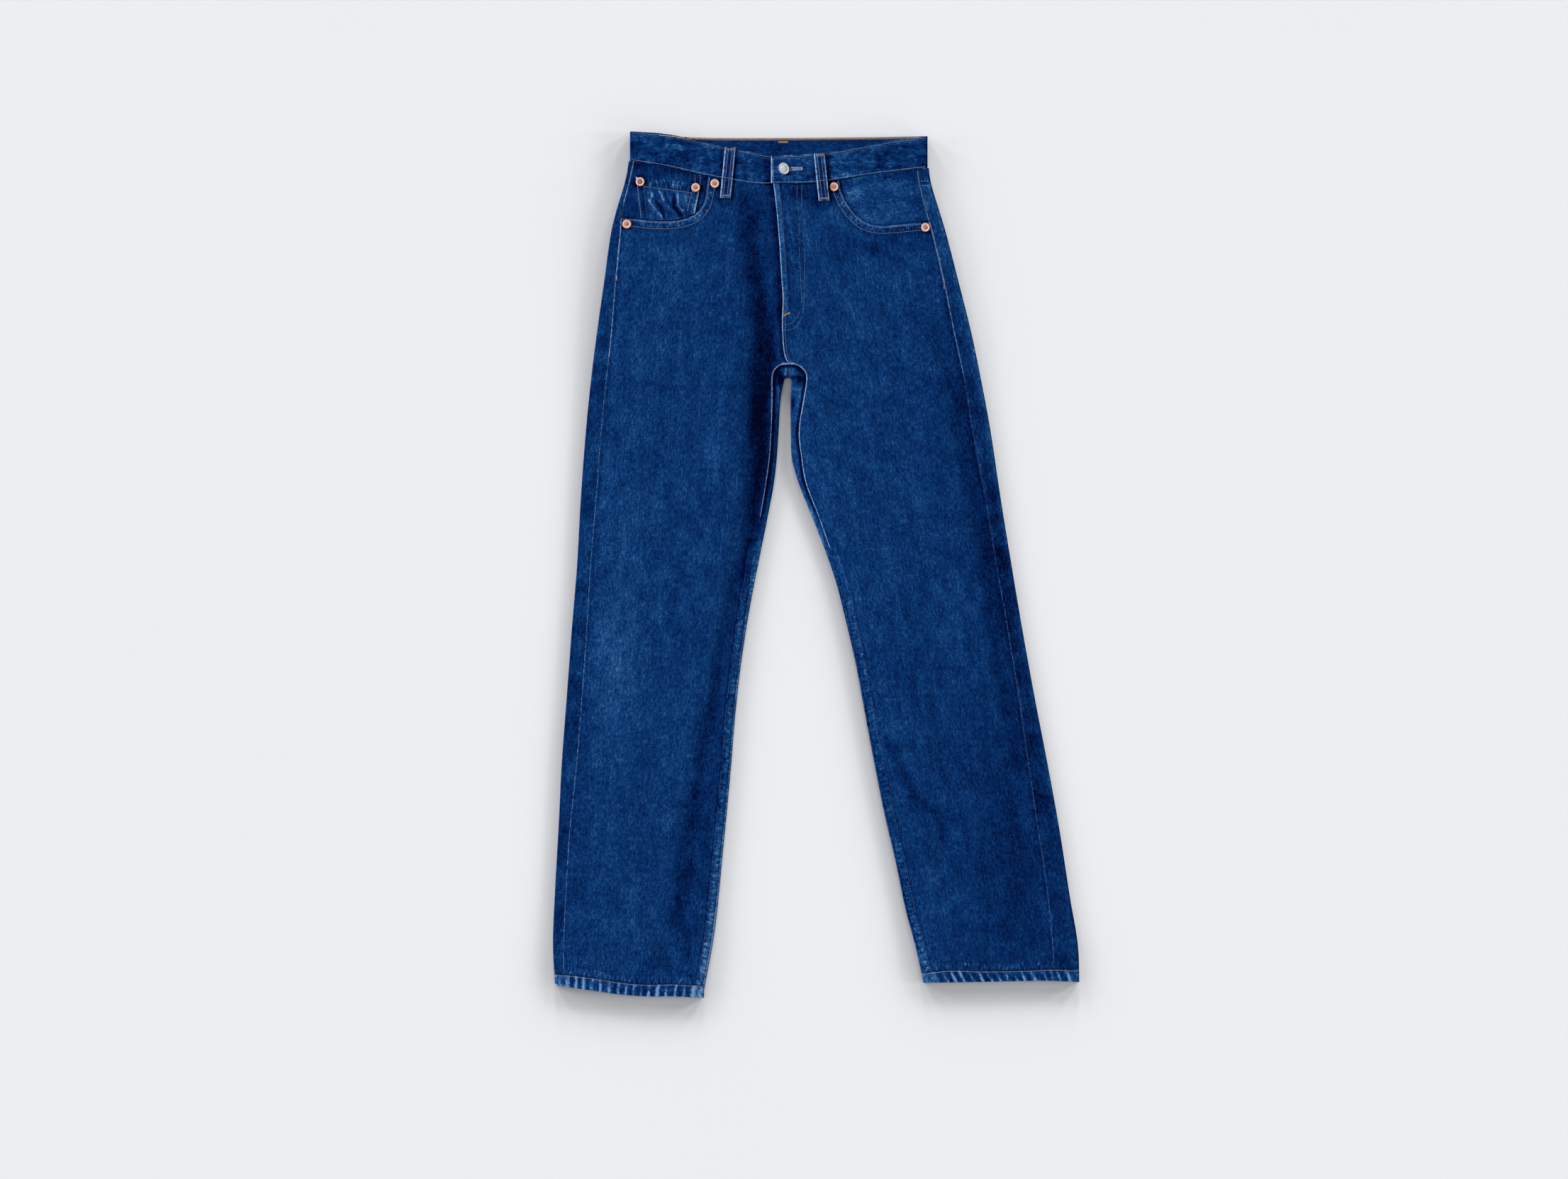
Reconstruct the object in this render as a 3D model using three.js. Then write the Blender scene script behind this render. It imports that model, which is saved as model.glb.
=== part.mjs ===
// Straight leg jeans laid flat, front side up, in millimetres.
// +X is the viewer's right (the wearer's left), +Y runs up to the waist, +Z is up off the surface.
// "right" and "left" name the wearer's sides. The origin is under the middle of the garment.
import * as THREE from 'three';

// Cloth and hardware
const CLOTH = 1.2;
const SEAM_GAP = 0.3;
const BAND_CLOTH = 2.6;
const BAND_SEAM_GAP = 0.5;
const HEM_SEAM_GAP = 0.6;
const HEM_CLOTH = 2.4;
const LOOP_CLOTH = 1.6;
const BACK_LOOP_CLOTH = 1.1;
const BUTTON = { x: -39.4, y: 477.8, radius: 7.2, height: 3.2 };
const RIVET = { radius: 5.2, height: 1.0, nipple: 2.0 };

// Heights of the layers
const PATCH_ROOM = 1.5;
const PATCH_ROOM_STARTS = 232;
const PATCH_ROOM_FULL = 262;
const LEAST_GAP = 0.7;
const RISE_WIDTH = 32;
const FOLD_MARGIN = 14;
const FOLDS_FADE = { from: 390, to: 425 };
const BAND_FRONT_TOP = 7.9;
const HEM_FRONT_TOP = 5.7;

// Centre lines
const CENTRE_BACK = -34.3;
const CROTCH_Y = 241.6;
const FORK = { x: -34.7, y: 221.5, radius: 4.7 };
const FLY_END = 305;
const FLY_LAP = 12;
const FLY_LAP_MARGIN = 3;
const FLY_SLOPE = 14;
const FLY_RAISE_RAMP = 18;
const FLY_LAP_RAMP = { from: 22, to: 45 };
const YOKE_AT_CENTRE = 412;
const YOKE_AT_SIDE = 460;
const YOKE_RUN = 190;
const POCKET_LAP = 8;
const LAP_DROP = 1.8;
const LEAST_DROP_SHARE = 0.2;
const DROP_FADE = { from: 10, to: 24 };
const COIN_GAP = 0.7;
const COIN_FOOT_RISE = 1.2;

// Where the rows of the panels start and end, by height
const FRONT_TOP_AT_CENTRE = { right: 457.4, left: 461 };
const CORNER_ROW = { front: 385, back: 384 };
const HIP_END = 262;
const SEAT_END = 231.7;
const LEG_TOP = { side: 216, inner: 213 };
const HEM_MIDDLE = -500;
const BOW_ROWS = 3;
const SEAT_TAIL = { top: 40, foot: 6 };

// Rows and columns of the walls
const HIP_ROWS = 6;
const LEG_ROWS = 16;
const YOKE_ROWS = 3;
const SIDE_ROWS = 2;
const FRONT_COLUMNS = 7;
const UNDER_COLUMNS = 6;
const BEND_STEPS = 4;
const STRIP_STEPS = 2;
const BAND_FRONT_COLUMNS = { right: 14, left: 12 };
const BAND_BACK_COLUMNS = 14;
const HEM_UNDER_COLUMNS = 10;
const TURN_STEPS = 6;
const COIN_COLUMNS = 8;
const COIN_ROWS = 5;
const BACK_POCKET_COLUMNS = 6;
const BACK_POCKET_ROWS = 4;
const LOOP_ROWS = { front: 8, back: 4 };
const TURNED_SEGMENTS = 18;

function table(columns, rows) {
  return rows.map((row) => Object.fromEntries(columns.map((name, i) => [name, row[i]])));
}

// Plan of the side edges and of the side seams, which lie a little in from the edges on top.
const SIDE_LINES = table(['y', 'rightEdge', 'rightSeam', 'leftSeam', 'leftEdge'], [
  [490, -225.5, -221.2, 121.0, 133.7],
  [460, -232.2, -227.8, 125.5, 138.5],
  [430, -241.2, -235.4, 133.0, 147.5],
  [400, -248.5, -238.0, 141.0, 156.5],
  [340, -257.0, -243.5, 155.0, 172.0],
  [280, -265.5, -248.5, 167.0, 187.0],
  [220, -273.0, -255.0, 180.0, 199.5],
  [160, -279.0, -261.0, 189.5, 210.5],
  [80, -285.0, -267.0, 204.5, 222.5],
  [0, -289.5, -273.5, 218.0, 235.5],
  [-80, -296.0, -278.5, 232.0, 249.0],
  [-160, -302.0, -284.0, 245.0, 263.5],
  [-240, -308.0, -290.5, 256.5, 279.0],
  [-320, -312.0, -298.5, 268.5, 293.5],
  [-400, -316.5, -303.5, 280.0, 306.0],
  [-460, -318.6, -306.0, 286.0, 315.9],
  [-515, -315.5, -306.5, 288.5, 319.4],
]);

// Plan of the inner edges and of the inseams below the crotch.
const INNER_LINES = table(['y', 'rightSeam', 'rightEdge', 'leftEdge', 'leftSeam'], [
  [222, -53.1, -39.4, -30.0, -12.0],
  [200, -53.1, -43.5, -31.5, -16.0],
  [160, -54.6, -46.0, -31.0, -21.6],
  [130, -56.5, -48.0, -30.0, -18.5],
  [100, -60.5, -51.3, -22.2, -13.6],
  [60, -67.3, -58.6, -6.4, 1.5],
  [20, -75.0, -66.6, 9.3, 15.6],
  [-20, -82.0, -74.6, 23.1, 30.0],
  [-60, -88.0, -82.1, 33.4, 40.5],
  [-120, -96.0, -91.3, 47.3, 52.5],
  [-180, -102.6, -98.1, 58.4, 63.0],
  [-240, -107.3, -103.0, 69.7, 74.0],
  [-300, -112.8, -108.5, 81.7, 86.0],
  [-360, -118.7, -114.4, 95.6, 99.9],
  [-420, -124.5, -120.2, 108.3, 112.6],
  [-460, -130.0, -125.7, 119.0, 123.3],
  [-515, -140.3, -136.0, 131.2, 135.5],
]);

// Plan of the centre front: the fly's edge, then the seam below it.
const CENTRE_FRONT = table(['y', 'x'], [
  [462, -52.4],
  [423, -48.0],
  [380, -44.6],
  [345, -42.5],
  [320, -41.0],
  [290, -42.0],
  [262, -40.5],
  [250, -38.0],
  [CROTCH_Y, -33.2],
]);

// The waistband's edges, front right, front left (which laps over it) and back.
const BAND_RIGHT = table(['x', 'upper', 'lower'], [
  [-225.5, 523.2, 488.0],
  [-180, 519.8, 480.8],
  [-142, 511.8, 472.0],
  [-110, 504.3, 465.6],
  [-80, 498.6, 460.8],
  [-60, 494.4, 458.4],
  [-53.5, 493.4, 462.0],
  [-20, 493.8, 463.0],
]);
const BAND_LEFT = table(['x', 'upper', 'lower'], [
  [-55, 493.3, 461.5],
  [-26, 494.6, 460.6],
  [0, 496.2, 461.4],
  [20, 498.8, 464.2],
  [43, 502.8, 467.8],
  [83, 510.2, 473.5],
  [134, 517.6, 479.5],
]);
const BAND_BACK = table(['x', 'upper', 'lower'], [
  [-225.5, 523.2, 488.0],
  [-190, 519.6, 483.0],
  [-142, 515.7, 479.4],
  [-34, 515.3, 477.2],
  [60, 516.2, 478.4],
  [134, 517.6, 479.5],
]);

// Front pocket openings, from the waist seam to the side seam.
const OPENING_RIGHT = table(['x', 'y'], [
  [-131.0, 469.0], [-133.0, 452.0], [-136.5, 436.0], [-144.5, 425.0], [-157.0, 418.0],
  [-174.0, 414.6], [-195.0, 414.6], [-218.0, 416.8], [-236.4, 418.5],
]);
const OPENING_LEFT = table(['x', 'y'], [
  [27.0, 464.0], [29.5, 451.0], [36.0, 437.0], [45.5, 424.0], [57.0, 414.2],
  [70.0, 409.6], [86.0, 409.0], [108.0, 411.0], [137.4, 413.5],
]);

// Where the rows pass the fork: their heights at the side seam and down the centre front, the angle
// at which they turn over the fork's edge, and where they end on the inseam arch.
const FORK_LINES = table(['side', 'front', 'angle', 'rightX', 'rightY', 'leftX', 'leftY'], [
  [257, 256.5, 0, CENTRE_BACK, 226.5, CENTRE_BACK, 226.5],
  [252, 250.5, 8, CENTRE_BACK, 230.5, CENTRE_BACK, 230.5],
  [247, CROTCH_Y, 17, -33.2, CROTCH_Y, -33.2, CROTCH_Y],
  [242, null, 28, -38.5, 241.2, -28.0, 241.2],
  [237, null, 40, -44.7, 239.8, -22.0, 239.8],
  [231, null, 55, -50.3, 235.2, -16.0, 235.2],
  [224, null, 72, -53.0, 226.8, -12.4, 227.5],
]);

// Hem fold line and lower edge of each leg.
const HEM_RIGHT = table(['x', 'upper', 'lower'], [
  [-318, -494.8, -507.6],
  [-294, -495.8, -511.2],
  [-259, -500.6, -516.2],
  [-230, -505.0, -519.8],
  [-200, -506.8, -521.5],
  [-172, -506.2, -521.4],
  [-136, -508.6, -523.2],
]);
const HEM_LEFT = table(['x', 'upper', 'lower'], [
  [131, -492.8, -505.2],
  [160, -489.6, -504.6],
  [200, -490.4, -504.0],
  [250, -489.8, -502.8],
  [285, -488.2, -502.6],
  [318, -489.6, -504.3],
]);

// Height of the top layer's middle at the folded edges, and how far it rises inside them.
const LOFT = table(['y', 'edge', 'rise'], [
  [520, 6.3, 0.3],
  [430, 6.3, 0.5],
  [340, 5.6, 1.3],
  [262, 4.6, 2.0],
  [200, 3.7, 2.2],
  [120, 3.2, 2.0],
  [-400, 3.2, 1.7],
  [-470, 4.2, 0.9],
  [-520, 4.6, 0.3],
]);

// Largest folds of the top layer: a line, the half width and the height, negative for a valley.
const FOLDS = table(['x0', 'y0', 'x1', 'y1', 'width', 'height'], [
  [-68, 410, -60, 300, 13, -2.2],
  [-60, 300, -70, 190, 14, -2.6],
  [-70, 190, -74, 100, 12, -2.4],
  [-74, 100, -100, -30, 11, -2.0],
  [-100, -30, -134, -200, 11, -1.6],
  [-134, -200, -160, -395, 10, -1.8],
  [-160, -395, -176, -425, 12, -1.4],
  [-100, 330, -104, 150, 22, 1.4],
  [-104, 150, -150, -180, 26, 1.0],
  [-152, -430, -147, -462, 14, 1.8],
  [-200, -430, -176, -480, 12, -1.2],
  [-210, 60, -222, -110, 26, 0.9],
  [-240, 330, -262, 60, 12, -0.9],
  [59, 402, 137, 366, 9, 1.3],
  [62, 388, 128, 356, 9, -1.1],
  [10, 400, 4, 270, 22, 1.2],
  [-4, 200, 60, -60, 20, 1.2],
  [137, 341, 160, 230, 13, -1.4],
  [160, 230, 203, 15, 13, -1.6],
  [203, 15, 233, -75, 13, -1.2],
  [180, -20, 196, -130, 24, 1.2],
  [85, -212, 116, -277, 10, 1.5],
  [116, -277, 152, -308, 10, 1.5],
  [110, -250, 146, -330, 9, -1.6],
  [152, -308, 158, -400, 12, -1.4],
  [128, -380, 150, -450, 14, 1.4],
  [232, -250, 262, -430, 16, -1.1],
]);

// Hem roping: slanted puckers along the front of each hem.
const ROPING = { pitch: 10.6, height: 0.4, slant: 0.22, stepsPerWave: 3, fade: 0.05 };

// Belt loops: where each starts at the band's upper edge and ends below the band.
const FRONT_LOOPS = table(['name', 'topX', 'topY', 'endX', 'endY'], [
  ['belt_loop_front_right', -104.2, 503.4, -110.2, 442.6],
  ['belt_loop_front_left', 3.0, 496.0, 9.0, 439.2],
]);
const BACK_LOOPS = table(['name', 'topX', 'topY', 'endX', 'endY'], [
  ['belt_loop_back_right', -158.0, 516.0, -158.0, 456.0],
  ['belt_loop_back_centre', -34.3, 514.8, -34.3, 453.0],
  ['belt_loop_back_left', 80.0, 516.0, 80.0, 456.0],
]);
const LOOP_WIDTH = 12.9;

// Rivets at the ends of the pocket openings.
const RIVETS = table(['name', 'x', 'y', 'on'], [
  ['rivet_coin_outer', -213.0, 462.2, 'coin'],
  ['rivet_coin_inner', -146.0, 455.2, 'coin'],
  ['rivet_right_inner', -122.9, 460.2, 'front'],
  ['rivet_right_outer', -229.1, 411.2, 'front'],
  ['rivet_left_inner', 21.2, 456.2, 'front'],
  ['rivet_left_outer', 131.6, 407.2, 'front'],
]);

// Coin pocket corners, and the back pockets: distance from the centre back, width, depths and tilt.
const COIN = { topLeft: { x: -218.5, y: 468.2 }, topRight: { x: -139.8, y: 459.6 }, footLeft: -213.5, footRight: -147.0 };
const BACK_POCKET = { inner: 38, width: 130, below: 20, side: 112, point: 140, taper: 6 };

const COLOURS = {
  denim: 0x0d3468,
  denimDark: 0x0a2c5a,
  band: 0x173a70,
  hem: 0x24457a,
  facing: 0x17497f,
  button: 0x9aa2af,
  rivet: 0xa5765f,
};

const lerp = THREE.MathUtils.lerp;
const smooth = (value, from, to) => THREE.MathUtils.smoothstep(value, from, to);

// A smooth curve of one column of a table against another.
function curve(rows, key, value) {
  const points = rows.map((row) => [row[key], row[value]]).sort((a, b) => a[0] - b[0]);
  const last = points.length - 1;
  const slope = (i) => {
    const before = points[Math.max(0, i - 1)];
    const after = points[Math.min(last, i + 1)];
    return (after[1] - before[1]) / (after[0] - before[0]);
  };
  return (at) => {
    const place = THREE.MathUtils.clamp(at, points[0][0], points[last][0]);
    let i = 0;
    while (i < last - 1 && points[i + 1][0] < place) i += 1;
    const span = points[i + 1][0] - points[i][0];
    const u = (place - points[i][0]) / span;
    const rest = 1 - u;
    return points[i][1] * (1 + 2 * u) * rest * rest
      + slope(i) * span * u * rest * rest
      + points[i + 1][1] * (3 - 2 * u) * u * u
      - slope(i + 1) * span * u * u * rest;
  };
}

const centreFront = curve(CENTRE_FRONT, 'y', 'x');
const edgeTopMiddle = curve(LOFT, 'y', 'edge');
const rise = curve(LOFT, 'y', 'rise');
const bandBackLower = curve(BAND_BACK, 'x', 'lower');

const RIGHT = {
  name: 'right',
  out: -1,
  edge: curve(SIDE_LINES, 'y', 'rightEdge'),
  seam: curve(SIDE_LINES, 'y', 'rightSeam'),
  innerEdge: curve(INNER_LINES, 'y', 'rightEdge'),
  innerSeam: curve(INNER_LINES, 'y', 'rightSeam'),
  bandUpper: curve(BAND_RIGHT, 'x', 'upper'),
  bandLower: curve(BAND_RIGHT, 'x', 'lower'),
  hemUpper: curve(HEM_RIGHT, 'x', 'upper'),
  hemLower: curve(HEM_RIGHT, 'x', 'lower'),
  opening: OPENING_RIGHT,
};
const LEFT = {
  name: 'left',
  out: 1,
  edge: curve(SIDE_LINES, 'y', 'leftEdge'),
  seam: curve(SIDE_LINES, 'y', 'leftSeam'),
  innerEdge: curve(INNER_LINES, 'y', 'leftEdge'),
  innerSeam: curve(INNER_LINES, 'y', 'leftSeam'),
  bandUpper: curve(BAND_LEFT, 'x', 'upper'),
  bandLower: curve(BAND_LEFT, 'x', 'lower'),
  hemUpper: curve(HEM_LEFT, 'x', 'upper'),
  hemLower: curve(HEM_LEFT, 'x', 'lower'),
  opening: OPENING_LEFT,
};

// Heights. The under layer rests on the surface, and is lifted over the patches sewn under the seat.
const underMiddle = (y) => PATCH_ROOM * smooth(y, PATCH_ROOM_STARTS, PATCH_ROOM_FULL) + CLOTH / 2;
const bendRadius = (y) => (edgeTopMiddle(y) - underMiddle(y)) / 2;
const edgeInset = (y) => bendRadius(y) + CLOTH / 2;

function insideDistance(x, y) {
  const side = Math.min(x - RIGHT.edge(y), LEFT.edge(y) - x);
  let fork = x < FORK.x ? RIGHT.innerEdge(y) - x : x - LEFT.innerEdge(y);
  if (y > FORK.y) fork = Math.hypot(x - FORK.x, y - FORK.y) - FORK.radius;
  return Math.max(0, Math.min(side, fork) - edgeInset(y));
}

function foldHeight(x, y) {
  let height = 0;
  for (const fold of FOLDS) {
    const dx = fold.x1 - fold.x0;
    const dy = fold.y1 - fold.y0;
    const along = ((x - fold.x0) * dx + (y - fold.y0) * dy) / (dx * dx + dy * dy);
    const u = THREE.MathUtils.clamp(along, 0, 1);
    const away = Math.hypot(x - fold.x0 - u * dx, y - fold.y0 - u * dy) / fold.width;
    height += fold.height * Math.exp(-away * away);
  }
  return height;
}

// Middle height of the top layer.
function topMiddle(x, y) {
  const inside = insideDistance(x, y);
  const lifted = rise(y) * (1 - Math.exp(-inside / RISE_WIDTH));
  const folds = foldHeight(x, y) * smooth(inside, 0, FOLD_MARGIN) * (1 - smooth(y, FOLDS_FADE.from, FOLDS_FADE.to));
  return Math.max(underMiddle(y) + CLOTH + LEAST_GAP, edgeTopMiddle(y) + lifted + folds);
}

// The left front's fly laps over the right front, so it is raised there.
function flyRaise(x, y) {
  const beyond = x - centreFront(y) - FLY_LAP - FLY_LAP_MARGIN;
  const risen = smooth(y, FLY_END, FLY_END + FLY_RAISE_RAMP);
  return (CLOTH + SEAM_GAP) * (1 - smooth(beyond, 0, FLY_SLOPE)) * risen;
}

const flyLap = (y) => FLY_LAP * smooth(y, FLY_END + FLY_LAP_RAMP.from, FLY_END + FLY_LAP_RAMP.to);

function frontMiddle(side, x, y) {
  return topMiddle(x, y) + (side === LEFT ? flyRaise(x, y) : 0);
}

// One point of a wall: its middle, the way its outer face looks, and how far that face stands proud.
const point = (x, y, z, nx = 0, ny = 0, nz = 1, proud = 0) => ({ x, y, z, nx, ny, nz, proud });

// A closed wall on a grid of points, rows down the garment and columns across it.
function wallGeometry(rows, thickness, ring) {
  const down = rows.length - 1;
  const count = rows[0].length;
  const across = ring ? count : count - 1;
  const position = [];
  for (const face of [1, -1]) {
    for (const p of rows.flat()) {
      const reach = (face * thickness) / 2 + (face > 0 ? p.proud : 0);
      position.push(p.x + p.nx * reach, p.y + p.ny * reach, p.z + p.nz * reach);
    }
  }
  const outer = (i, j) => i * count + (j % count);
  const inner = (i, j) => rows.length * count + outer(i, j);
  let index = [];
  const quad = (a, b, c, d) => index.push(a, b, c, a, c, d);
  for (let i = 0; i < down; i += 1) {
    for (let j = 0; j < across; j += 1) {
      quad(outer(i, j), outer(i + 1, j), outer(i + 1, j + 1), outer(i, j + 1));
      quad(inner(i, j), inner(i, j + 1), inner(i + 1, j + 1), inner(i + 1, j));
    }
  }
  for (let j = 0; j < across; j += 1) {
    quad(outer(0, j), outer(0, j + 1), inner(0, j + 1), inner(0, j));
    quad(outer(down, j), inner(down, j), inner(down, j + 1), outer(down, j + 1));
  }
  for (let i = 0; i < down && !ring; i += 1) {
    quad(outer(i, 0), inner(i, 0), inner(i + 1, 0), outer(i + 1, 0));
    quad(outer(i, across), outer(i + 1, across), inner(i + 1, across), inner(i, across));
  }
  if (signedVolume(position, index) < 0) index = index.reverse();
  const geometry = new THREE.BufferGeometry();
  geometry.setAttribute('position', new THREE.Float32BufferAttribute(position, 3));
  geometry.setIndex(index);
  geometry.computeVertexNormals();
  return geometry;
}

function signedVolume(position, index) {
  const corner = (i) => new THREE.Vector3().fromArray(position, 3 * index[i]);
  let volume = 0;
  for (let i = 0; i < index.length; i += 3) {
    volume += corner(i).dot(corner(i + 1).cross(corner(i + 2)));
  }
  return volume / 6;
}

const jeans = new THREE.Group();

function addMesh(name, geometry, colour, roughness, metalness) {
  const material = new THREE.MeshStandardMaterial({ color: colour, roughness, metalness });
  const mesh = new THREE.Mesh(geometry, material);
  mesh.name = name;
  jeans.add(mesh);
  return mesh;
}

function addWall(name, rows, thickness, colour, ring = false) {
  return addMesh(name, wallGeometry(rows, thickness, ring), colour, 0.9, 0);
}

// Points moved sideways off the line that they follow, to the left of its direction.
function shiftedLine(points, distance) {
  return points.map((p, i) => {
    const before = points[Math.max(0, i - 1)];
    const after = points[Math.min(points.length - 1, i + 1)];
    const length = Math.hypot(after.x - before.x, after.y - before.y);
    return {
      x: p.x - (distance * (after.y - before.y)) / length,
      y: p.y + (distance * (after.x - before.x)) / length,
    };
  });
}

// Rows of the leg from the crotch to the hem: their heights at the side seam and on the inseam.
function legRow(side, k) {
  const u = k / LEG_ROWS;
  const innerY = lerp(LEG_TOP.inner, side.hemUpper(side.innerSeam(HEM_MIDDLE)), u);
  const sideY = lerp(LEG_TOP.side, side.hemUpper(side.seam(HEM_MIDDLE)), u);
  return { sideY, x: side.innerSeam(innerY), y: innerY };
}

// The waist seam below the band, as seen from the front or from under the back.
const waistSeam = (side, x) => side.bandLower(x) - BAND_SEAM_GAP;
const backWaistSeam = (x) => bandBackLower(x) - BAND_SEAM_GAP;

// Under the left end of the band, the right front stops where the band's visible edge ends.
const RIGHT_FRONT_TOP = { x: -62, y: 457.6 };
const frontTop = (side, x) => (
  side === RIGHT && x > RIGHT_FRONT_TOP.x ? RIGHT_FRONT_TOP.y : waistSeam(side, x)
);

const openingCorner = (side) => side.opening[side.opening.length - 1];

// Heights at the side seam of the rows that the yoke, facing and back share.
function sideStations(side) {
  const waist = waistSeam(side, side.edge(BAND_RIGHT[0].lower));
  const corner = openingCorner(side).y;
  const stations = [];
  for (let k = 0; k <= YOKE_ROWS; k += 1) stations.push(lerp(waist, YOKE_AT_SIDE, k / YOKE_ROWS));
  for (let k = 1; k <= SIDE_ROWS; k += 1) stations.push(lerp(YOKE_AT_SIDE, corner, k / SIDE_ROWS));
  return stations;
}

// Front: a row is a line from the pocket opening or side seam to the centre front or inseam.
function frontEnds(side) {
  const ends = [];
  const top = FRONT_TOP_AT_CENTRE[side.name];
  side.opening.forEach((outer, k) => {
    const y = lerp(top, CORNER_ROW.front, k / (side.opening.length - 1));
    ends.push({ outer, inner: { x: centreFront(y), y } });
  });
  for (let k = 1; k <= HIP_ROWS; k += 1) {
    const sideY = lerp(openingCorner(side).y, HIP_END, k / HIP_ROWS);
    const y = lerp(CORNER_ROW.front, HIP_END, k / HIP_ROWS);
    ends.push({ outer: { x: side.seam(sideY), y: sideY }, inner: { x: centreFront(y), y } });
  }
  for (const line of FORK_LINES) {
    const outer = { x: side.seam(line.side), y: line.side };
    const arch = { x: line[`${side.name}X`], y: line[`${side.name}Y`] };
    const centre = { x: centreFront(line.front), y: line.front };
    ends.push({ outer, inner: line.front > CROTCH_Y ? centre : arch });
  }
  for (let k = 0; k <= LEG_ROWS; k += 1) {
    const row = legRow(side, k);
    ends.push({ outer: { x: side.seam(row.sideY), y: row.sideY }, inner: { x: row.x, y: row.y } });
  }
  return ends;
}

// Bows the last rows so that the last one follows the hem's fold line.
function bowToHem(side, rows) {
  const last = rows.length - 1;
  const bows = rows[last].map((p) => side.hemUpper(p.x) - p.y);
  for (let k = 0; k < BOW_ROWS; k += 1) {
    rows[last - k].forEach((p, j) => {
      p.y += bows[j] * (1 - k / BOW_ROWS);
    });
  }
}

// Shares of a front's width: even columns, then two that follow the fly's lap and its slope.
function frontShares(width) {
  const lapped = FLY_LAP + FLY_LAP_MARGIN;
  const even = 1 - (lapped + FLY_SLOPE) / width;
  const shares = [];
  for (let j = 0; j <= FRONT_COLUMNS; j += 1) shares.push((even * j) / FRONT_COLUMNS);
  return [...shares, 1 - lapped / width, 1];
}

function addFront(side) {
  const ends = frontEnds(side);
  const innerLine = shiftedLine(ends.map((end) => end.inner), (side.out * SEAM_GAP) / 2);
  const rows = ends.map((end, i) => {
    const inner = { ...innerLine[i] };
    if (end.inner.y === CROTCH_Y) inner.y += SEAM_GAP;
    if (side === RIGHT) inner.x += flyLap(inner.y);
    const outer = { x: end.outer.x - (side.out * SEAM_GAP) / 2, y: end.outer.y };
    return frontShares(Math.abs(outer.x - inner.x)).map((share) => {
      const x = lerp(outer.x, inner.x, share);
      const y = i === 0 ? frontTop(side, x) : lerp(outer.y, inner.y, share);
      return point(x, y, frontMiddle(side, x, y));
    });
  });
  bowToHem(side, rows);
  addWall(`front_${side.name}`, rows, CLOTH, COLOURS.denim);
}

// A folded edge, from the top layer to the under layer. normal is the way out in plan.
function bend(centre, normal, fromAngle, toAngle, steps) {
  const radius = bendRadius(centre.y);
  const points = [];
  for (let k = 1; k <= steps; k += 1) {
    const angle = THREE.MathUtils.degToRad(lerp(fromAngle, toAngle, k / steps));
    const out = Math.cos(angle);
    const x = centre.x + normal.x * radius * out;
    const y = centre.y + normal.y * radius * out;
    const z = underMiddle(centre.y) + radius * (1 + Math.sin(angle));
    points.push(point(x, y, z, normal.x * out, normal.y * out, Math.sin(angle)));
  }
  return points;
}

// The wall from the side seam, over the folded side edge, to the under layer.
function sideWrap(side, y) {
  const seamX = side.seam(y) + (side.out * SEAM_GAP) / 2;
  const centre = { x: side.edge(y) - side.out * edgeInset(y), y };
  const row = [];
  for (let k = 0; k <= STRIP_STEPS; k += 1) {
    const x = lerp(seamX, centre.x, k / STRIP_STEPS);
    row.push(point(x, y, topMiddle(x, y)));
  }
  row.push(...bend(centre, { x: side.out, y: 0 }, 90, -90, BEND_STEPS));
  return { row, centre };
}

const underPoint = (x, y) => point(x, y, underMiddle(y), 0, 0, -1);

function underLine(from, to, steps) {
  const points = [];
  for (let k = 1; k <= steps; k += 1) {
    points.push(underPoint(lerp(from.x, to.x, k / steps), lerp(from.y, to.y, k / steps)));
  }
  return points;
}

const centreBackX = (side) => CENTRE_BACK + (side.out * SEAM_GAP) / 2;
const INNER_STEPS = BEND_STEPS + STRIP_STEPS;

// A row of the back that ends on the centre back seam, under the garment.
function seatRow(side, sideY, centreY, tail) {
  const { row, centre } = sideWrap(side, sideY);
  const end = { x: centreBackX(side), y: centreY };
  const turn = { x: end.x + side.out * tail, y: lerp(centreY, sideY, tail / Math.abs(end.x - centre.x)) };
  return [...row, ...underLine(centre, turn, UNDER_COLUMNS), ...underLine(turn, end, INNER_STEPS)];
}

// A row that ends on top: it turns over the inner edge at `turn` and runs to `end` on the inseam.
function wrapRow(side, sideY, turn, normal, end) {
  const { row, centre } = sideWrap(side, sideY);
  const inner = bend(turn, normal, -90, 90, BEND_STEPS);
  for (let k = 1; k <= STRIP_STEPS; k += 1) {
    const x = lerp(turn.x, end.x, k / STRIP_STEPS);
    const y = lerp(turn.y, end.y, k / STRIP_STEPS);
    inner.push(point(x, y, topMiddle(x, y)));
  }
  return [...row, ...underLine(centre, turn, UNDER_COLUMNS), ...inner];
}

// The row that ends at the fork's edge, where the centre back seam turns over it.
function tipRow(side, line) {
  const { row, centre } = sideWrap(side, line.side);
  const turn = { x: centreBackX(side), y: FORK.y + FORK.radius + edgeInset(FORK.y) };
  return [...row, ...underLine(centre, turn, UNDER_COLUMNS), ...bend(turn, { x: 0, y: -1 }, -90, 0, INNER_STEPS)];
}

function forkRow(side, line, end) {
  const angle = THREE.MathUtils.degToRad(90 - side.out * line.angle);
  const away = { x: Math.cos(angle), y: Math.sin(angle) };
  const reach = FORK.radius + edgeInset(FORK.y);
  const turn = { x: FORK.x + away.x * reach, y: FORK.y + away.y * reach };
  return wrapRow(side, line.side, turn, { x: -away.x, y: -away.y }, end);
}

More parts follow.
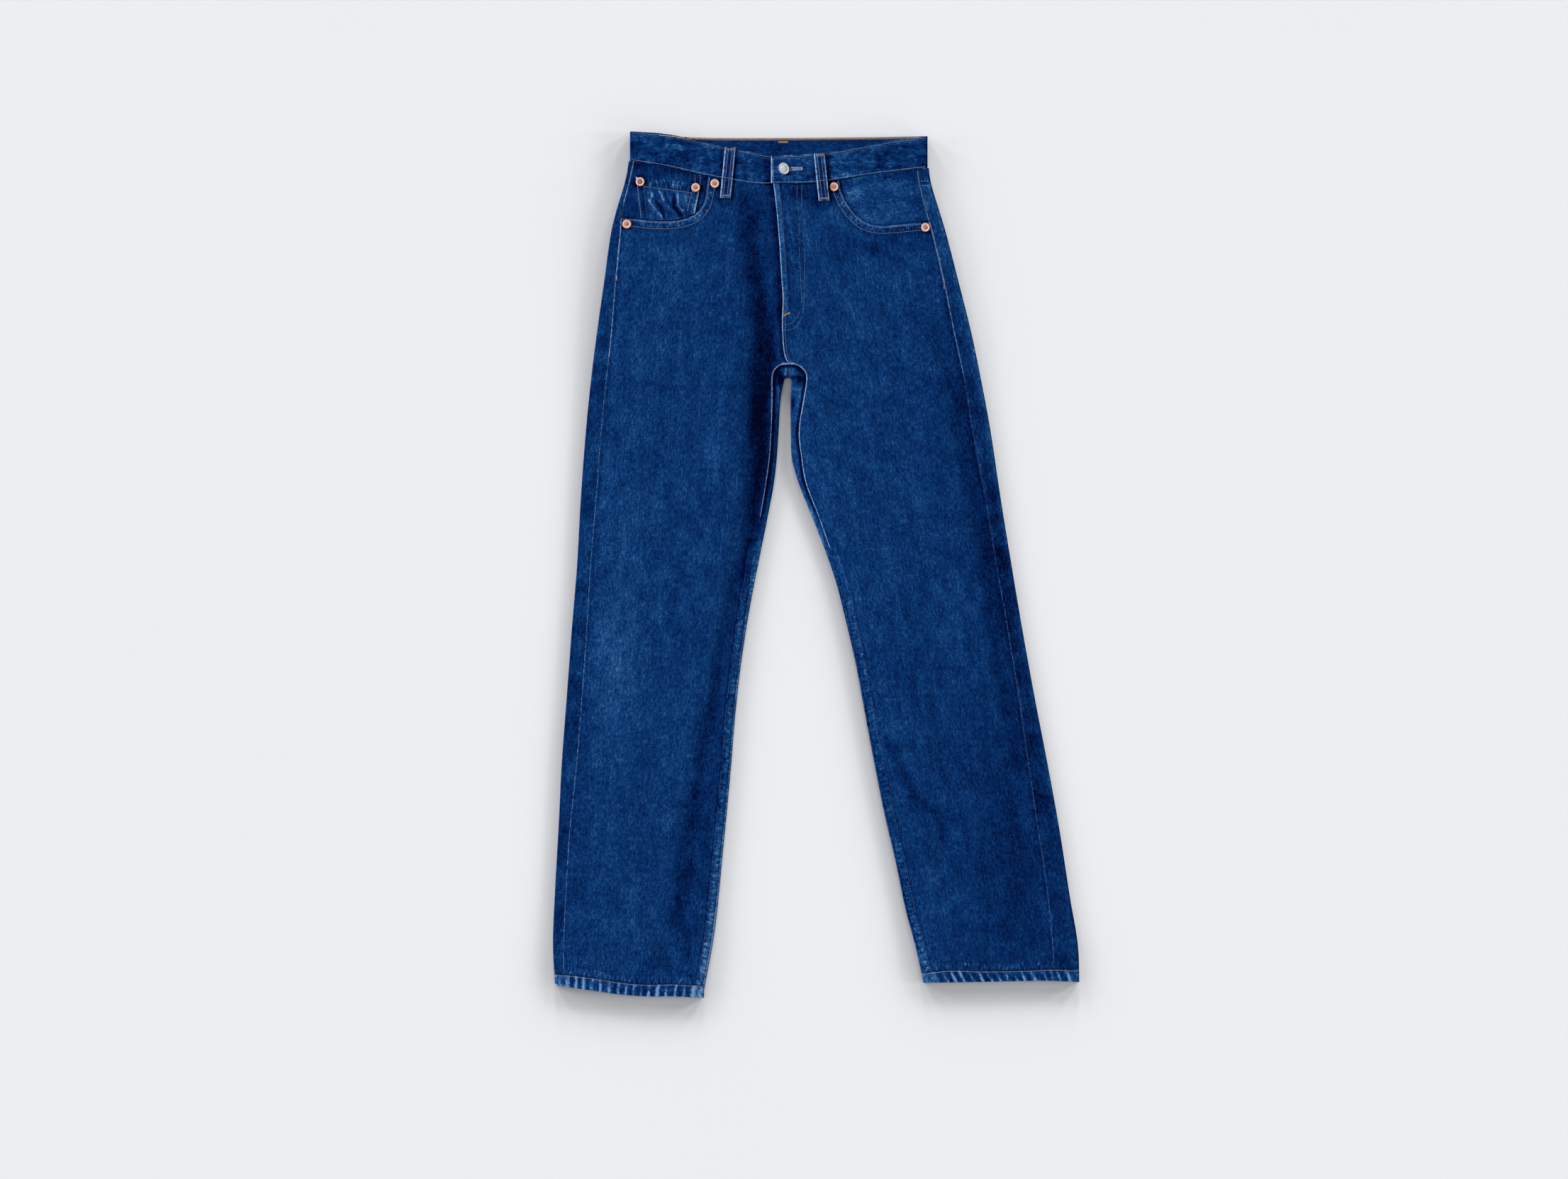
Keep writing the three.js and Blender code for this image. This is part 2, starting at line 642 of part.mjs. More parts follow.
function addBack(side) {
  const rows = [];
  const stations = sideStations(side).slice(YOKE_ROWS);
  stations.forEach((y, k) => {
    const share = k / SIDE_ROWS;
    const top = k === 0 ? SEAM_GAP : 0;
    const centreY = lerp(YOKE_AT_CENTRE, CORNER_ROW.back, share) - top;
    rows.push(seatRow(side, y - top, centreY, SEAT_TAIL.top));
  });
  for (let k = 1; k <= HIP_ROWS; k += 1) {
    const u = k / HIP_ROWS;
    const sideY = lerp(openingCorner(side).y, HIP_END, u);
    const tail = lerp(SEAT_TAIL.top, SEAT_TAIL.foot, u);
    rows.push(seatRow(side, sideY, lerp(CORNER_ROW.back, SEAT_END, u), tail));
  }
  const below = FORK_LINES.slice(1).map((line) => ({ x: line[`${side.name}X`], y: line[`${side.name}Y`] }));
  for (let k = 0; k <= LEG_ROWS; k += 1) below.push(legRow(side, k));
  const ends = shiftedLine(below, (-side.out * SEAM_GAP) / 2);
  ends[0].x = centreBackX(side);
  ends[1].y -= SEAM_GAP;
  rows.push(tipRow(side, FORK_LINES[0]));
  FORK_LINES.slice(1).forEach((line, k) => rows.push(forkRow(side, line, ends[k])));
  for (let k = 0; k <= LEG_ROWS; k += 1) {
    const { sideY, y } = legRow(side, k);
    const end = ends[k + FORK_LINES.length - 1];
    const turn = { x: side.innerEdge(y) + side.out * edgeInset(y), y };
    rows.push(wrapRow(side, sideY, turn, { x: -side.out, y: 0 }, end));
  }
  bowToHem(side, rows);
  addWall(`back_${side.name}`, rows, CLOTH, COLOURS.denimDark);
}

function addYoke(side) {
  const rows = sideStations(side).slice(0, YOKE_ROWS + 1).map((y, k) => {
    const share = k / YOKE_ROWS;
    const { row, centre } = sideWrap(side, y);
    const end = { x: centreBackX(side), y: lerp(backWaistSeam(CENTRE_BACK), YOKE_AT_CENTRE, share) };
    const under = underLine(centre, end, UNDER_COLUMNS);
    if (k > 0) return [...row, ...under];
    const top = row.map((p) => ({ ...p, y: waistSeam(side, p.x) }));
    return [...top, ...under.map((p) => ({ ...p, y: backWaistSeam(p.x) }))];
  });
  addWall(`yoke_${side.name}`, rows, CLOTH, COLOURS.denimDark);
}

// The denim behind a pocket opening. It lies under the front's edge and rises away from it.
function facingDrop(side, x, y) {
  const away = Math.min(...side.opening.map((p) => Math.hypot(x - p.x, y - p.y)));
  const nearOpening = 1 - smooth(away, DROP_FADE.from, DROP_FADE.to);
  const under = y < openingHeight(side, x) ? 1 : 0;
  return LAP_DROP * Math.max(LEAST_DROP_SHARE, nearOpening, under);
}

function openingHeight(side, x) {
  const points = side.opening;
  for (let i = 1; i < points.length; i += 1) {
    const a = points[i - 1];
    const b = points[i];
    if ((x - a.x) * (x - b.x) <= 0) return lerp(a.y, b.y, (x - a.x) / (b.x - a.x));
  }
  return (x - points[0].x) * side.out < 0 ? Infinity : -Infinity;
}

const facingMiddle = (side, x, y) => topMiddle(x, y) - facingDrop(side, x, y);

function addFacing(side) {
  const stations = sideStations(side);
  const rowsDown = stations.length - 1;
  const opening = side.opening;
  const columns = opening.length - 1;
  const foot = shiftedLine(opening, side.out * -POCKET_LAP).map((p, k) => {
    const lap = Math.min(1, (columns - k) / 2);
    return { x: lerp(opening[k].x, p.x, lap), y: lerp(opening[k].y, p.y, lap) };
  });
  const innerTop = foot[0].x;
  const rows = [];
  for (let i = 0; i <= rowsDown; i += 1) {
    const row = [];
    for (let j = 0; j <= columns; j += 1) {
      const u = (columns - j) / columns;
      const topX = lerp(side.seam(stations[0]), innerTop, u);
      const topY = waistSeam(side, topX);
      let x = lerp(topX, foot[j].x, i / rowsDown);
      let y = lerp(topY, foot[j].y, i / rowsDown);
      if (j === columns) {
        x = side.seam(stations[i]) - (side.out * SEAM_GAP) / 2;
        y = i === 0 ? waistSeam(side, x) : stations[i];
      }
      row.push(point(x, y, facingMiddle(side, x, y)));
    }
    rows.push(row);
  }
  addWall(`pocket_facing_${side.name}`, rows, CLOTH, COLOURS.facing);
}

function coinMiddle(x, y) {
  return facingMiddle(RIGHT, x, y) + CLOTH + COIN_GAP;
}

function addCoinPocket() {
  const rows = [];
  for (let i = 0; i <= COIN_ROWS; i += 1) {
    const row = [];
    for (let j = 0; j <= COIN_COLUMNS; j += 1) {
      const u = j / COIN_COLUMNS;
      const topX = lerp(COIN.topLeft.x, COIN.topRight.x, u);
      const topY = lerp(COIN.topLeft.y, COIN.topRight.y, u);
      const footX = lerp(COIN.footLeft, COIN.footRight, u);
      const footY = openingHeight(RIGHT, footX) + COIN_FOOT_RISE;
      const x = lerp(topX, footX, i / COIN_ROWS);
      const y = lerp(topY, footY, i / COIN_ROWS);
      row.push(point(x, y, coinMiddle(x, y)));
    }
    rows.push(row);
  }
  addWall('coin_pocket', rows, CLOTH, COLOURS.facing);
}

// Five-sided patch sewn under the seat, flat on the surface.
function addBackPocket(side) {
  const thickness = PATCH_ROOM - SEAM_GAP;
  const slope = (YOKE_AT_SIDE - YOKE_AT_CENTRE) / YOKE_RUN;
  const rows = [];
  for (let i = 0; i <= BACK_POCKET_ROWS; i += 1) {
    const row = [];
    for (let j = 0; j <= BACK_POCKET_COLUMNS; j += 1) {
      const u = j / BACK_POCKET_COLUMNS;
      const share = i / BACK_POCKET_ROWS;
      const half = BACK_POCKET.width / 2 - BACK_POCKET.taper * share;
      const away = BACK_POCKET.inner + BACK_POCKET.width / 2 + lerp(-half, half, u);
      const top = YOKE_AT_CENTRE + slope * away - BACK_POCKET.below;
      const depth = lerp(BACK_POCKET.side, BACK_POCKET.point, 1 - Math.abs(2 * u - 1));
      const x = CENTRE_BACK + side.out * away;
      row.push(point(x, top - depth * share, thickness / 2, 0, 0, -1));
    }
    rows.push(row);
  }
  addWall(`back_pocket_${side.name}`, rows, thickness, COLOURS.denimDark);
}

// Waistband: one strip from the right end, round the back, to the left end that laps over it.
const bandUnder = PATCH_ROOM + BAND_CLOTH / 2;
const bandTop = BAND_FRONT_TOP - BAND_CLOTH / 2;
const BAND_LAP_RAMP = { from: -12, to: 26 };
const BAND_ENDS = { right: -20, left: -55 };
const bandLapRaise = (x) => (
  (BAND_CLOTH + SEAM_GAP) * (1 - smooth(x, BAND_LAP_RAMP.from, BAND_LAP_RAMP.to))
);

function bandOuterTop(side, x) {
  return BAND_FRONT_TOP + (side === LEFT ? bandLapRaise(x) : 0);
}

function addWaistband() {
  const radius = (bandTop - bandUnder) / 2;
  const inset = radius + BAND_CLOTH / 2;
  const rightEdge = BAND_RIGHT[0].x;
  const leftEdge = BAND_LEFT[BAND_LEFT.length - 1].x;
  const path = [];
  const frontX = (side, from, to, steps) => {
    for (let k = 0; k <= steps; k += 1) {
      const x = lerp(from, to, k / steps);
      const raise = side === LEFT ? bandLapRaise(x) : 0;
      path.push({ x, z: bandTop + raise, nx: 0, nz: 1, upper: side.bandUpper(x), lower: side.bandLower(x) });
    }
  };
  const turnEdge = (centreX, out, fromAngle, toAngle) => {
    for (let k = 1; k < TURN_STEPS; k += 1) {
      const angle = THREE.MathUtils.degToRad(lerp(fromAngle, toAngle, k / TURN_STEPS));
      const nx = out * Math.cos(angle);
      const nz = Math.sin(angle);
      const side = out < 0 ? RIGHT : LEFT;
      const x = centreX + nx * radius;
      path.push({ x, z: bandUnder + radius * (1 + nz), nx, nz, upper: side.bandUpper(x), lower: side.bandLower(x) });
    }
  };
  frontX(RIGHT, BAND_ENDS.right, rightEdge + inset, BAND_FRONT_COLUMNS.right);
  turnEdge(rightEdge + inset, -1, 90, -90);
  const backUpper = curve(BAND_BACK, 'x', 'upper');
  for (let k = 0; k <= BAND_BACK_COLUMNS; k += 1) {
    const x = lerp(rightEdge + inset, leftEdge - inset, k / BAND_BACK_COLUMNS);
    path.push({ x, z: bandUnder, nx: 0, nz: -1, upper: backUpper(x), lower: bandBackLower(x) });
  }
  turnEdge(leftEdge - inset, 1, -90, 90);
  frontX(LEFT, leftEdge - inset, BAND_ENDS.left, BAND_FRONT_COLUMNS.left);
  const rows = [0, 0.5, 1].map((u) => path.map((p) => (
    point(p.x, lerp(p.upper, p.lower, u), p.z, p.nx, 0, p.nz)
  )));
  addWall('waistband', rows, BAND_CLOTH, COLOURS.band);
}

// Hem: a band round the foot of the leg, roped into slanted puckers along its front.
function addHem(side) {
  const low = HEM_CLOTH / 2;
  const high = HEM_FRONT_TOP - HEM_CLOTH / 2;
  const radius = (high - low) / 2;
  const inset = radius + HEM_CLOTH / 2;
  const outerX = side.edge(HEM_MIDDLE) - side.out * inset;
  const innerX = side.innerEdge(HEM_MIDDLE) + side.out * inset;
  const width = Math.abs(outerX - innerX);
  const waves = Math.round(width / ROPING.pitch);
  const steps = waves * ROPING.stepsPerWave;
  const rows = [0, 0.5, 1].map((u) => {
    const row = [];
    const place = (x, z, nx, nz, proud) => {
      const upper = side.hemUpper(x) - HEM_SEAM_GAP;
      row.push(point(x, lerp(upper, side.hemLower(x), u), z, nx, 0, nz, proud));
    };
    for (let k = 0; k <= steps; k += 1) {
      const share = k / steps;
      const phase = 2 * Math.PI * (waves * share + ROPING.slant * 2 * u);
      const fade = smooth(share, 0, ROPING.fade) * (1 - smooth(share, 1 - ROPING.fade, 1));
      place(lerp(outerX, innerX, share), high, 0, 1, ROPING.height * fade * (1 - Math.cos(phase)) * 0.5);
    }
    for (let k = 1; k < TURN_STEPS; k += 1) {
      const angle = THREE.MathUtils.degToRad(lerp(90, -90, k / TURN_STEPS));
      const nx = -side.out * Math.cos(angle);
      place(innerX + nx * radius, low + radius * (1 + Math.sin(angle)), nx, Math.sin(angle), 0);
    }
    for (let k = 0; k <= HEM_UNDER_COLUMNS; k += 1) {
      place(lerp(innerX, outerX, k / HEM_UNDER_COLUMNS), low, 0, -1, 0);
    }
    for (let k = 1; k < TURN_STEPS; k += 1) {
      const angle = THREE.MathUtils.degToRad(lerp(-90, 90, k / TURN_STEPS));
      const nx = side.out * Math.cos(angle);
      place(outerX + nx * radius, low + radius * (1 + Math.sin(angle)), nx, Math.sin(angle), 0);
    }
    return row;
  });
  addWall(`hem_${side.name}`, rows, HEM_CLOTH, COLOURS.hem, true);
}

// Highest outer face of the front at a place: the band, the panel below it, or the coin pocket.
function frontSurface(x, y) {
  const side = x < centreFront(y) ? RIGHT : LEFT;
  if (y > side.bandLower(x) - 3) return bandOuterTop(side, x);
  return frontMiddle(side, x, y) + CLOTH / 2;
}

function highestNear(surface, x, y, reach) {
  let highest = -Infinity;
  for (const dx of [-reach, 0, reach]) {
    for (const dy of [-reach, 0, reach]) highest = Math.max(highest, surface(x + dx, y + dy));
  }
  return highest;
}

function loopRows(loop, rowsDown, middle, normal) {
  const rows = [];
  for (let i = 0; i <= rowsDown; i += 1) {
    const u = i / rowsDown;
    const x = lerp(loop.topX, loop.endX, u);
    const y = lerp(loop.topY, loop.endY, u);
    rows.push([-1, 0, 1].map((s) => point(x + (s * LOOP_WIDTH) / 2, y, middle(x, y), 0, 0, normal)));
  }
  return rows;
}

function addLoops() {
  const over = (x, y) => highestNear(frontSurface, x, y, LOOP_WIDTH / 2 + 1) + SEAM_GAP + LOOP_CLOTH / 2;
  for (const loop of FRONT_LOOPS) {
    addWall(loop.name, loopRows(loop, LOOP_ROWS.front, over, 1), LOOP_CLOTH, COLOURS.band);
  }
  const under = () => BACK_LOOP_CLOTH / 2;
  for (const loop of BACK_LOOPS) {
    addWall(loop.name, loopRows(loop, LOOP_ROWS.back, under, -1), BACK_LOOP_CLOTH, COLOURS.band);
  }
}

// A turned piece standing on the cloth, from a profile of radii and heights.
function addTurned(name, profile, x, y, z, colour) {
  const outline = profile.map(([r, h]) => new THREE.Vector2(r, h));
  const geometry = new THREE.LatheGeometry(outline, TURNED_SEGMENTS);
  geometry.rotateX(Math.PI / 2);
  const mesh = addMesh(name, geometry, colour, 0.35, 0.9);
  mesh.position.set(x, y, z);
}

function addRivets() {
  const { radius, height, nipple } = RIVET;
  const profile = [
    [0, 0], [radius, 0], [radius, height * 0.6], [radius * 0.86, height], [radius * 0.5, height * 0.75],
    [radius * 0.34, height], [radius * 0.24, nipple * 0.9], [0, nipple],
  ];
  for (const rivet of RIVETS) {
    const surface = rivet.on === 'coin' ? (x, y) => coinMiddle(x, y) + CLOTH / 2 : frontSurface;
    const z = highestNear(surface, rivet.x, rivet.y, radius * 0.75) + SEAM_GAP;
    addTurned(rivet.name, profile, rivet.x, rivet.y, z, COLOURS.rivet);
  }
}

function addButton() {
  const { radius, height } = BUTTON;
  const profile = [
    [0, 0], [radius * 0.45, 0], [radius * 0.5, height * 0.3], [radius * 0.94, height * 0.38],
    [radius, height * 0.6], [radius * 0.94, height * 0.86], [radius * 0.8, height * 0.8],
    [radius * 0.5, height * 0.94], [0, height],
  ];
  const z = bandOuterTop(LEFT, BUTTON.x) + SEAM_GAP;
  addTurned('waist_button', profile, BUTTON.x, BUTTON.y, z, COLOURS.button);
}

for (const side of [RIGHT, LEFT]) {
  addFront(side);
  addBack(side);
  addYoke(side);
  addFacing(side);
  addBackPocket(side);
  addHem(side);
}
addCoinPocket();
addWaistband();
addLoops();
addRivets();
addButton();

export default jeans;
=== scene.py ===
"""Straight leg jeans laid flat, front side up: the looks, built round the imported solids.

Lengths are in millimetres until a mesh is made. +X is the viewer's right, +Y runs up to the
waist and +Z is up off the surface. "right" and "left" name the wearer's sides.
"""
import math

import bpy
import numpy as np
from mathutils.bvhtree import BVHTree
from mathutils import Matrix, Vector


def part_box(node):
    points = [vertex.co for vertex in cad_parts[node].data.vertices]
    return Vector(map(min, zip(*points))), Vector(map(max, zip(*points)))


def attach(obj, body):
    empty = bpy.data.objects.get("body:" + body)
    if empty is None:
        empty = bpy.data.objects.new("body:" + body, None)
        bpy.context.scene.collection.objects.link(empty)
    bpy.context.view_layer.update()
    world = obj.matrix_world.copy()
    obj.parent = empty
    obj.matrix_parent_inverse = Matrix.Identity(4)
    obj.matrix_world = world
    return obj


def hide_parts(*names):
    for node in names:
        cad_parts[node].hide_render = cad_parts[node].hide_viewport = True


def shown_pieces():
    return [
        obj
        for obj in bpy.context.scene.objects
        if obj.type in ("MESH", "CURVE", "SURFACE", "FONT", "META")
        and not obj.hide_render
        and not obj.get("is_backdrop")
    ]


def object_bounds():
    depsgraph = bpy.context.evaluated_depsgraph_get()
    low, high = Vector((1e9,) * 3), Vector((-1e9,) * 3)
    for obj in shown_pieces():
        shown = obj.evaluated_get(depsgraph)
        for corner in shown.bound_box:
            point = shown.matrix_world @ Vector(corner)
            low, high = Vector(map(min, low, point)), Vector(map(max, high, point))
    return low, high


MM = 0.001

# Cloth and hardware
CLOTH = 1.2
SEAM_GAP = 0.3
BAND_CLOTH = 2.6
BAND_SEAM_GAP = 0.5
HEM_SEAM_GAP = 0.6
HEM_CLOTH = 2.4
LOOP_CLOTH = 1.6
BACK_LOOP_CLOTH = 1.1
LOOP_WIDTH = 12.9

# Heights of the layers
PATCH_ROOM = 1.5
PATCH_ROOM_STARTS = 232
PATCH_ROOM_FULL = 262
LEAST_GAP = 0.7
RISE_WIDTH = 32
BAND_FRONT_TOP = 7.9
HEM_FRONT_TOP = 5.7
FOLD_MARGIN = 14

# Lengths along which wear and puckers are placed
BAND_HEIGHT = 38
HEM_HEIGHT = 14
HEM_RUN = 190
LOOP_LENGTH = 61

# Centre lines and the places where the rows of the panels start and end
CENTRE_BACK = -34.3
CROTCH_Y = 241.6
FORK_X = -34.7
FORK_Y = 221.5
FORK_RADIUS = 4.7
FLY_END = 305
FLY_LAP = 12
FLY_LAP_MARGIN = 3
FLY_SLOPE = 14
FLY_RAISE_RAMP = 18
YOKE_AT_CENTRE = 412
YOKE_AT_SIDE = 460
YOKE_RUN = 190
POCKET_LAP = 8
LAP_DROP = 1.8
LEAST_DROP_SHARE = 0.2
COIN_GAP = 0.7
CORNER_FRONT = 385
CORNER_BACK = 384
HIP_END = 262
SEAT_END = 231.7
LEG_TOP_SIDE = 216
LEG_TOP_INNER = 213
HEM_MIDDLE = -500
WAIST_CENTRE = 462
WAIST_SIDE = 488
SIDE_FOOT = -505
BOW_SHARE = 3 / 16
BAND_END_RIGHT = -20
BAND_END_LEFT = -55
RIGHT_FRONT_TOP_X = -62
RIGHT_FRONT_TOP_Y = 457.6

# Camera: the photograph's view at the cloth
VIEW_WIDTH = 1895.7
VIEW_CENTRE = (-39.4, -30.0)
CAMERA_HEIGHT = 6000
SENSOR_WIDTH = 36
FLOOR_HALF = 6000

# Scale of the photograph, and the pixel that lies at the origin
MM_PER_PIXEL = 0.857
ORIGIN_PIXEL = (1152, 796.5)

# Light: a ring of low suns for the soft shadow on the floor, and one sun for the cloth
RING_ENERGY = 1.28
RING_STEP = 30
RING_ELEVATION = 8
RING_SOFTNESS = 11
RING_HEADING = 73
RING_BIAS = 1.18
LEAST_RING_SHARE = 0.05
WORLD_LIGHT = 0.28
KEY_AZIMUTH = 158
KEY_ELEVATION = 36
KEY_SOFTNESS = 24
KEY_ENERGY = 3.75

# Sewing: the most that a stitch may climb, and how thick the short stitches of a bar are
LARGEST_STEP = 2.5
BAR_RADIUS = 0.34
BAR_CLEARANCE = 0.36
BAR_PITCH = 0.62
HOLE_RADIUS = 0.32

RANDOM_SEED = 7


def table(columns, rows):
    """A dict of columns, each an array."""
    return {name: np.array([row[i] for row in rows], float) for i, name in enumerate(columns.split())}


def records(columns, rows):
    """A list of rows, each a dict."""
    return [dict(zip(columns.split(), row)) for row in rows]


# The folded outer edge and the side seam of each leg, in plan
SIDE_LINES = table("y right_edge right_seam left_seam left_edge", [
    (490, -225.5, -221.2, 121.0, 133.7),
    (460, -232.2, -227.8, 125.5, 138.5),
    (430, -241.2, -235.4, 133.0, 147.5),
    (400, -248.5, -238.0, 141.0, 156.5),
    (340, -257.0, -243.5, 155.0, 172.0),
    (280, -265.5, -248.5, 167.0, 187.0),
    (220, -273.0, -255.0, 180.0, 199.5),
    (160, -279.0, -261.0, 189.5, 210.5),
    (80, -285.0, -267.0, 204.5, 222.5),
    (0, -289.5, -273.5, 218.0, 235.5),
    (-80, -296.0, -278.5, 232.0, 249.0),
    (-160, -302.0, -284.0, 245.0, 263.5),
    (-240, -308.0, -290.5, 256.5, 279.0),
    (-320, -312.0, -298.5, 268.5, 293.5),
    (-400, -316.5, -303.5, 280.0, 306.0),
    (-460, -318.6, -306.0, 286.0, 315.9),
    (-515, -315.5, -306.5, 288.5, 317.6),
])

# The inseam and the folded inner edge of each leg, in plan
INNER_LINES = table("y right_seam right_edge left_edge left_seam", [
    (222, -53.1, -39.4, -30.0, -12.0),
    (200, -53.1, -43.5, -31.5, -16.0),
    (160, -54.6, -46.0, -31.0, -21.6),
    (130, -56.5, -48.0, -30.0, -18.5),
    (100, -60.5, -51.3, -22.2, -13.6),
    (60, -67.3, -58.6, -6.4, 1.5),
    (20, -75.0, -66.6, 9.3, 15.6),
    (-20, -81.0, -74.6, 23.1, 29.0),
    (-60, -86.6, -82.1, 33.4, 38.0),
    (-120, -94.6, -91.3, 47.3, 50.6),
    (-180, -101.2, -98.1, 58.4, 61.6),
    (-240, -106.0, -103.0, 69.7, 72.8),
    (-300, -111.5, -108.5, 81.7, 84.8),
    (-360, -117.4, -114.4, 95.6, 98.6),
    (-420, -123.2, -120.2, 108.3, 111.3),
    (-460, -128.7, -125.7, 119.0, 122.0),
    (-515, -139.0, -136.0, 131.2, 134.2),
])

# The centre front seam, which is the fly's edge above its end
CENTRE_FRONT = table("y x", [
    (462, -52.4),
    (423, -48.0),
    (380, -44.6),
    (345, -42.5),
    (320, -41.0),
    (290, -42.0),
    (262, -40.5),
    (250, -38.0),
    (CROTCH_Y, -33.2),
])

# Upper and lower edges of the waistband: right front, left front and back
BAND_RIGHT = table("x upper lower", [
    (-225.5, 523.2, 488.0),
    (-180, 519.8, 480.8),
    (-142, 511.8, 472.0),
    (-110, 504.3, 465.6),
    (-80, 498.6, 460.8),
    (-60, 494.4, 459.4),
    (-53.5, 493.4, 459.8),
    (-20, 493.8, 461.6),
])
BAND_LEFT = table("x upper lower", [
    (-55, 493.3, 460.4),
    (-26, 494.6, 460.4),
    (0, 496.2, 461.4),
    (20, 498.8, 464.2),
    (43, 502.8, 467.8),
    (83, 510.2, 473.5),
    (134, 517.6, 479.5),
])
BAND_BACK = table("x upper lower", [
    (-225.5, 523.2, 488.0),
    (-190, 519.6, 483.0),
    (-142, 515.7, 479.4),
    (-34, 515.3, 477.2),
    (60, 516.2, 478.4),
    (134, 517.6, 479.5),
])

# Edges of the pocket openings, from the waistband to the side seam
OPENING_RIGHT = table("x y", [
    (-131.0, 469.0), (-133.0, 452.0), (-136.5, 436.0), (-144.5, 425.0), (-157.0, 418.0),
    (-174.0, 414.6), (-195.0, 414.6), (-218.0, 416.8), (-236.4, 418.5),
])
OPENING_LEFT = table("x y", [
    (27.0, 464.0), (29.5, 451.0), (36.0, 437.0), (45.5, 424.0), (57.0, 414.2),
    (70.0, 409.6), (86.0, 409.0), (108.0, 411.0), (137.4, 413.5),
])

# Where the rows pass the fork: side and centre front heights, the angle at which they turn over
# its edge, and where they end on the inseam arch.
FORK_LINES = table("side front angle right_x right_y left_x left_y", [
    (257, 256.5, 0, CENTRE_BACK, 226.5, CENTRE_BACK, 226.5),
    (252, 250.5, 8, CENTRE_BACK, 230.5, CENTRE_BACK, 230.5),
    (247, CROTCH_Y, 17, -33.2, CROTCH_Y, -33.2, CROTCH_Y),
    (242, CROTCH_Y, 28, -38.5, 241.8, -28.0, 242.0),
    (237, CROTCH_Y, 40, -44.7, 240.2, -22.0, 240.2),
    (231, CROTCH_Y, 55, -50.3, 235.2, -16.0, 235.2),
    (224, CROTCH_Y, 72, -53.0, 226.8, -12.4, 227.5),
])
FORK_JUNCTION = 2

# Fold lines of the hems, and the leg openings below them
HEM_RIGHT = table("x upper lower", [
    (-318, -494.8, -507.6),
    (-294, -495.8, -511.2),
    (-259, -500.6, -516.2),
    (-230, -505.0, -519.8),
    (-200, -506.8, -521.5),
    (-172, -506.2, -521.4),
    (-136, -508.6, -523.2),
])
HEM_LEFT = table("x upper lower", [
    (131, -492.8, -505.2),
    (160, -489.6, -504.6),
    (200, -490.4, -504.0),
    (250, -489.8, -502.8),
    (285, -488.2, -502.6),
    (318, -489.6, -504.3),
])

# Middle height of the top layer at the folded edges, and how much it rises inside them
LOFT = table("y edge rise", [
    (520, 6.3, 0.3),
    (430, 6.3, 0.5),
    (340, 5.6, 1.3),
    (262, 4.6, 2.0),
    (200, 3.7, 2.2),
    (120, 3.2, 2.0),
    (-400, 3.2, 1.7),
    (-470, 4.2, 0.9),
    (-520, 4.6, 0.3),
])

# Folds of the top layer, each a line of (x, y, half width, height), negative for a valley.
FOLDS = [
    [
        (-80, 440, 13, -0.8), (-72, 340, 14, -2.2), (-62, 254, 14, -2.8), (-68, 168, 13, -2.8),
        (-74, 83, 11, -2.4), (-95, -20, 10, -2.0), (-125, -174, 10, -1.9), (-150, -320, 10, -1.9),
        (-168, -431, 12, -1.4),
    ],
    [(-100, 340, 20, 0.8), (-102, 250, 22, 1.5), (-112, 100, 24, 1.3), (-150, -180, 26, 1.0)],
    [(-152, -430, 14, 1.8), (-147, -462, 14, 1.8)],
    [(-200, -430, 12, -1.2), (-176, -480, 12, -1.2)],
    [(-210, 60, 26, 0.9), (-222, -110, 26, 0.9)],
    [(-240, 330, 12, -0.9), (-262, 60, 12, -0.9)],
    [(59, 402, 9, 1.3), (137, 366, 9, 1.3)],
    [(62, 388, 9, -1.1), (128, 356, 9, -1.1)],
    [(10, 400, 22, 1.2), (4, 270, 22, 1.2)],
    [(-4, 200, 20, 1.2), (60, -60, 20, 1.2)],
    [(137, 341, 13, -1.4), (160, 230, 13, -1.6), (203, 15, 13, -1.6), (233, -75, 13, -1.2)],
    [(180, -20, 24, 1.2), (196, -130, 24, 1.2)],
    [(85, -212, 10, 1.5), (116, -277, 10, 1.5), (152, -308, 10, 1.5)],
    [(110, -250, 9, -1.6), (146, -330, 9, -1.6)],
    [(152, -308, 12, -1.4), (158, -400, 12, -1.4)],
    [(128, -380, 14, 1.4), (150, -450, 14, 1.4)],
    [(232, -250, 16, -1.1), (262, -430, 16, -1.1)],
]

